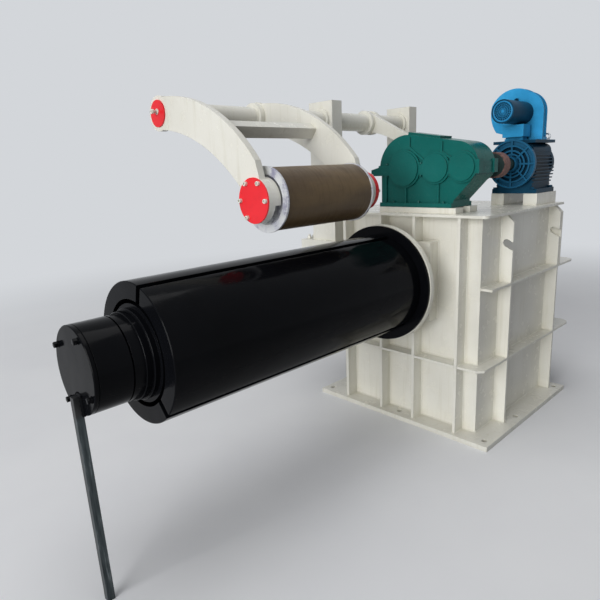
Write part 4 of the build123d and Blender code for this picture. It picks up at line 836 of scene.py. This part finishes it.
# %% Beads on the arm
PIVOT_R = 54.0
RING_SEAMS_Y = (-1435.0, -910.0, -850.0, 22.0, 116.0)
RING_STEPS = 48
ring_seam = turned([(PIVOT_R - 3, -5), (PIVOT_R + 3, -4), (PIVOT_R + 4, 0), (PIVOT_R - 3, 5)], RING_STEPS)
shape = bmesh.new()
for y in RING_SEAMS_Y:
    stamp(shape, ring_seam, (PIVOT_AT[0], y, PIVOT_AT[1]), REAR)
piece("arm_welds", shape, CREAM, "hold_down_arm", BEAD_ANGLE)

# %% [markdown]
# Each post stands on a foot flange that is bolted to the side bracket, with two bolts on
# its outer side and one on its inner side. Their studs stand a little out of the nuts. A
# plain pin would do from afar, but a short thread on the nut's pattern costs few faces.

# %% Post bolts
FOOT_TOP_Z = 968.0
POSTS_Y = (-337.5, 447.5)
FOOT_BOLTS = ((-772.0, -22.0), (-772.0, 22.0), (-545.0, -22.0))
WASHER_16 = turned([(0, 0), (16, 0), (16, 2.4), (15.2, 3), (0, 3)])
NUT_16 = stacked((WASHER_16, 0), (hexagon(24, 13, 1.5), 3), (thread(8, 12, 2.0), 14))
shape = bmesh.new()
for post_y in POSTS_Y:
    for x, off_y in FOOT_BOLTS:
        stamp(shape, NUT_16, (x, post_y + off_y, FOOT_TOP_Z))
piece("post_bolts", shape, CREAM, "pedestal")

# %% [markdown]
# The reducer's halves are clamped by bolts through the split flange, between the bearing
# seats and at the corners, with their nuts below, and foot bolts hold it to its seat. All
# have the same size and are painted over with the case, so one pattern does for them.

# %% Reducer hardware
CASE_FRONT, CASE_REAR, BOLT_ROW = -405.0, -240.0, 7.5
FLANGE_TOP_Z, FLANGE_UNDER_Z = GEAR_Z + 22.0, GEAR_Z - 32.0
FLANGE_BOLTS_X = (-110.0, 101.0, 131.0, 268.0)
FOOT_FLANGE_Z = 1212.0
FOOT_BOLTS_X = (-67.0, 90.0, 234.0)
BOLT_8 = stacked((turned([(0, 0), (8.5, 0), (8.5, 2), (0, 2)]), 0), (hexagon(13, 7, 1.0), 2))
shape = bmesh.new()
for y in (CASE_FRONT - BOLT_ROW, CASE_REAR + BOLT_ROW):
    for x in FLANGE_BOLTS_X:
        stamp(shape, BOLT_8, (x, y, FLANGE_TOP_Z))
        stamp(shape, BOLT_8, (x, y, FLANGE_UNDER_Z), DOWN)
    for x in FOOT_BOLTS_X:
        stamp(shape, BOLT_8, (x, y, FOOT_FLANGE_Z))
piece("reducer_bolts", shape, GREEN, "pedestal")

# %% [markdown]
# The motor stands on four foot bolts. Two longer studs on the scroll's face hold the
# blower's own motor. They could be bright zinc, but they are painted with the motor and
# so take its blue, in the darker copy that carries painted shade.

# %% Motor bolts
MOTOR_FOOT_Z = 1250.0
MOTOR_BOLTS_X, MOTOR_BOLTS_Y = (230.0, 440.0), (150.0, 398.0)
SCROLL_FACE_Y = 220.0
SCROLL_STUDS = ((300.0, 1728.0), (370.0, 1653.0))
STUD = stacked((hexagon(17, 9, 1.0), 0), (thread(5, 16, 2.0), 9))
shape = bmesh.new()
for x in MOTOR_BOLTS_X:
    for y in MOTOR_BOLTS_Y:
        stamp(shape, BOLT_12, (x, y, MOTOR_FOOT_Z))
for x, z in SCROLL_STUDS:
    stamp(shape, STUD, (x, SCROLL_FACE_Y, z), FRONT)
piece("motor_bolts", shape, SHADED_BLUE, "pedestal")

# %% [markdown]
# The motor is lifted by an eye on its saddle, a forged ring on a round collar. The ring
# could be a torus from the menu. In bmesh it is a small circle of the wire's thickness,
# stood upright beside the axis and spun round it.

# %% Lifting eye
EYE_R, WIRE_R, EYE_STEPS, WIRE_SIDES = 15.0, 5.0, 28, 12
EYE_X, EYE_Y, SADDLE_TOP = 430.0, 332.0, 1510.0
COLLAR_T = 3.0
shape = bmesh.new()
upright = Matrix.Translation((EYE_R * MM, 0, 0)) @ Matrix.Rotation(math.pi / 2, 4, "X")
bmesh.ops.create_circle(shape, segments=WIRE_SIDES, radius=WIRE_R * MM, matrix=upright)
full_turn(shape, [*shape.verts, *shape.edges], EYE_STEPS)
eye = pattern_of(shape)
shape = bmesh.new()
stamp(shape, eye, (EYE_X, EYE_Y, SADDLE_TOP + EYE_R + COLLAR_T), REAR)
stamp(shape, turned([(0, 0), (13, 0), (13, 4), (7, 6), (0, 6)]), (EYE_X, EYE_Y, SADDLE_TOP))
piece("lifting_eye", shape, ZINC, "pedestal")

# %% [markdown]
# A perforated sheet guard closes the fan motor's open end. Its holes could be cut one by
# one, but a ring of faces already has the layout: it is spun from one radial line, each
# face is inset, and the inner faces are deleted, which leaves the holes. Solidify then
# gives the sheet its thickness, and a turned rim and hub finish it.

# %% Fan guard
GUARD_AT = (334.0, -17.0, 1655.0)
GUARD_RADII, GUARD_STEPS = (7.0, 17.0, 27.0, 37.0, 46.0), 24
WEB_MM, SHEET_MM = 1.3, 1.2
shape = bmesh.new()
full_turn(shape, radial_line(shape, [(r, 0) for r in GUARD_RADII]), GUARD_STEPS)
cells = list(shape.faces)
bmesh.ops.inset_individual(shape, faces=cells, thickness=WEB_MM * MM)
bmesh.ops.delete(shape, geom=cells, context="FACES")
bmesh.ops.solidify(shape, geom=list(shape.faces), thickness=SHEET_MM * MM)
sheet = pattern_of(shape)
rim = turned([(45, -2), (53, -2), (53, 2), (49, 4), (45, 2), (45, -2)], RING_STEPS)
hub = turned([(0, -1), (8, -1), (8, 1.5), (0, 2.5)])
shape = bmesh.new()
for pattern in (sheet, rim, hub):
    stamp(shape, pattern, GUARD_AT, FRONT)
piece("fan_guard", shape, BLUE, "pedestal")

# %% [markdown]
# The floor is plain and pale, and fades into an equally pale backdrop, so no horizon cuts
# the picture. A curved studio sheet would do that too, but it would show in views from
# behind, so the flat floor's own material fades with the distance. Indirect light sees a
# darker floor than the camera does: a pale one would fill every shadow from below and
# take the shape out of the ribs.

# %% Pale floor
FLOOR_SIDE, CLOUD_MM = 60.0, 900.0
BACKDROP = "D3D6DA"
FLOOR_CLOUD, FLOOR_SEEN, FLOOR_BOUNCE = "EAEBEE", "F0F1F3", "8A8C90"
FADE_FROM, FADE_TO = 2.0, 7.0


def pale_floor():
    material, tree, shader, where, _ = new_material("pale_floor")
    indirect = add_node(tree, "ShaderNodeLightPath").outputs["Is Diffuse Ray"]
    clouds = add_node(tree, NOISE, {"Scale": per_mm(CLOUD_MM), "Detail": 3.0, "Roughness": FINE}, {"Vector": where})
    tones = [(0.3, FLOOR_CLOUD), (0.7, FLOOR_SEEN)]
    tone = add_node(tree, RAMP, {"stops": tones}, {"Fac": clouds.outputs["Fac"]}).outputs["Color"]
    layers = {"data_type": "RGBA", OVER: linear(FLOOR_BOUNCE)}
    colour = add_node(tree, MIX, layers, {0: indirect, UNDER: tone}).outputs[MIXED]
    wire(tree, shader, {"Base Color": colour})
    shader.inputs["Roughness"].default_value = 0.75
    shader.inputs["Specular IOR Level"].default_value = 0.2
    far = add_node(tree, VECTOR_MATH, {"operation": "LENGTH"}, {0: where}).outputs["Value"]
    limits = {"interpolation_type": "SMOOTHSTEP", "From Min": FADE_FROM, "From Max": FADE_TO}
    fade = add_node(tree, RANGE, limits, {"Value": far}).outputs["Result"]
    direct = add_node(tree, MATH, {"operation": "SUBTRACT", 0: 1.0}, {1: indirect}).outputs["Value"]
    seen = add_node(tree, MATH, {"operation": "MULTIPLY"}, {0: fade, 1: direct}).outputs["Value"]
    glow = add_node(tree, "ShaderNodeEmission", {"Color": linear(BACKDROP)}).outputs["Emission"]
    both = {0: seen, 1: shader.outputs["BSDF"], 2: glow}
    blend = add_node(tree, "ShaderNodeMixShader", None, both).outputs["Shader"]
    output = next(n for n in tree.nodes if n.bl_idname == "ShaderNodeOutputMaterial")
    wire(tree, output, {"Surface": blend})
    return material


shape = bmesh.new()
bmesh.ops.create_grid(shape, x_segments=1, y_segments=1, size=FLOOR_SIDE / 2)
ground = bpy.data.meshes.new("floor")
shape.to_mesh(ground)
shape.free()
ground.materials.append(pale_floor())
floor = bpy.data.objects.new("floor", ground)
bpy.context.collection.objects.link(floor)
floor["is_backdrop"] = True
print("floor:", FLOOR_SIDE, "m, fades from", FADE_FROM, "to", FADE_TO, "m")

# %% [markdown]
# Small lamps would give hard shadows and hot spots in the gloss paint. The light comes
# instead from one big soft square in front of the drum's free end, as from a bright sky,
# with a weaker one overhead. The sides that face away from the big one stay darker.

# %% Light
def add_area(name, at, aim, size, power):
    """Square soft lamp that looks from one place to another."""
    data = bpy.data.lights.new(name, "AREA")
    data.shape = "SQUARE"
    data.size = size
    data.energy = power
    lamp = bpy.data.objects.new(name, data)
    bpy.context.collection.objects.link(lamp)
    lamp.location = at
    lamp.rotation_euler = (Vector(aim) - Vector(at)).to_track_quat("-Z", "Y").to_euler()


add_area("key", at=(2.6, -14.0, 3.0), aim=(0, -0.8, 0.9), size=9.5, power=1900)
add_area("overhead", at=(-0.5, -1.5, 8.0), aim=(0, -0.8, 0.8), size=6.0, power=240)

# %% [markdown]
# The world gives the last soft light from all sides. One plain background would have to
# be the pale backdrop and a dim light at once. So camera, glossy and see-through rays
# find the pale backdrop in it, and diffuse rays a weaker grey.

# %% Surround
SOFT_GREY, AMBIENT = "E2E4E8", 0.22
world = bpy.data.worlds.new("surround")
bpy.context.scene.world = world
world.use_nodes = True
tree = world.node_tree
tree.nodes.clear()
indirect = add_node(tree, "ShaderNodeLightPath").outputs["Is Diffuse Ray"]
dim = add_node(tree, "ShaderNodeBackground", {"Color": linear(SOFT_GREY), "Strength": AMBIENT})
pale = add_node(tree, "ShaderNodeBackground", {"Color": linear(BACKDROP), "Strength": 1.0})
both = {0: indirect, 1: pale.outputs["Background"], 2: dim.outputs["Background"]}
shown = add_node(tree, "ShaderNodeMixShader", None, both).outputs["Shader"]
add_node(tree, "ShaderNodeOutputWorld", None, {"Surface": shown})
bpy.context.scene.view_settings.view_transform = "Standard"
print("ambient strength:", AMBIENT)

# %% [markdown]
# The last cell measures the box of the dressed machine and prints it. That could also be
# looked up in the viewport.

# %% Sizes and finish
low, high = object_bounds()
print("visual box:", [round(v, 3) for v in (*low, *high)])
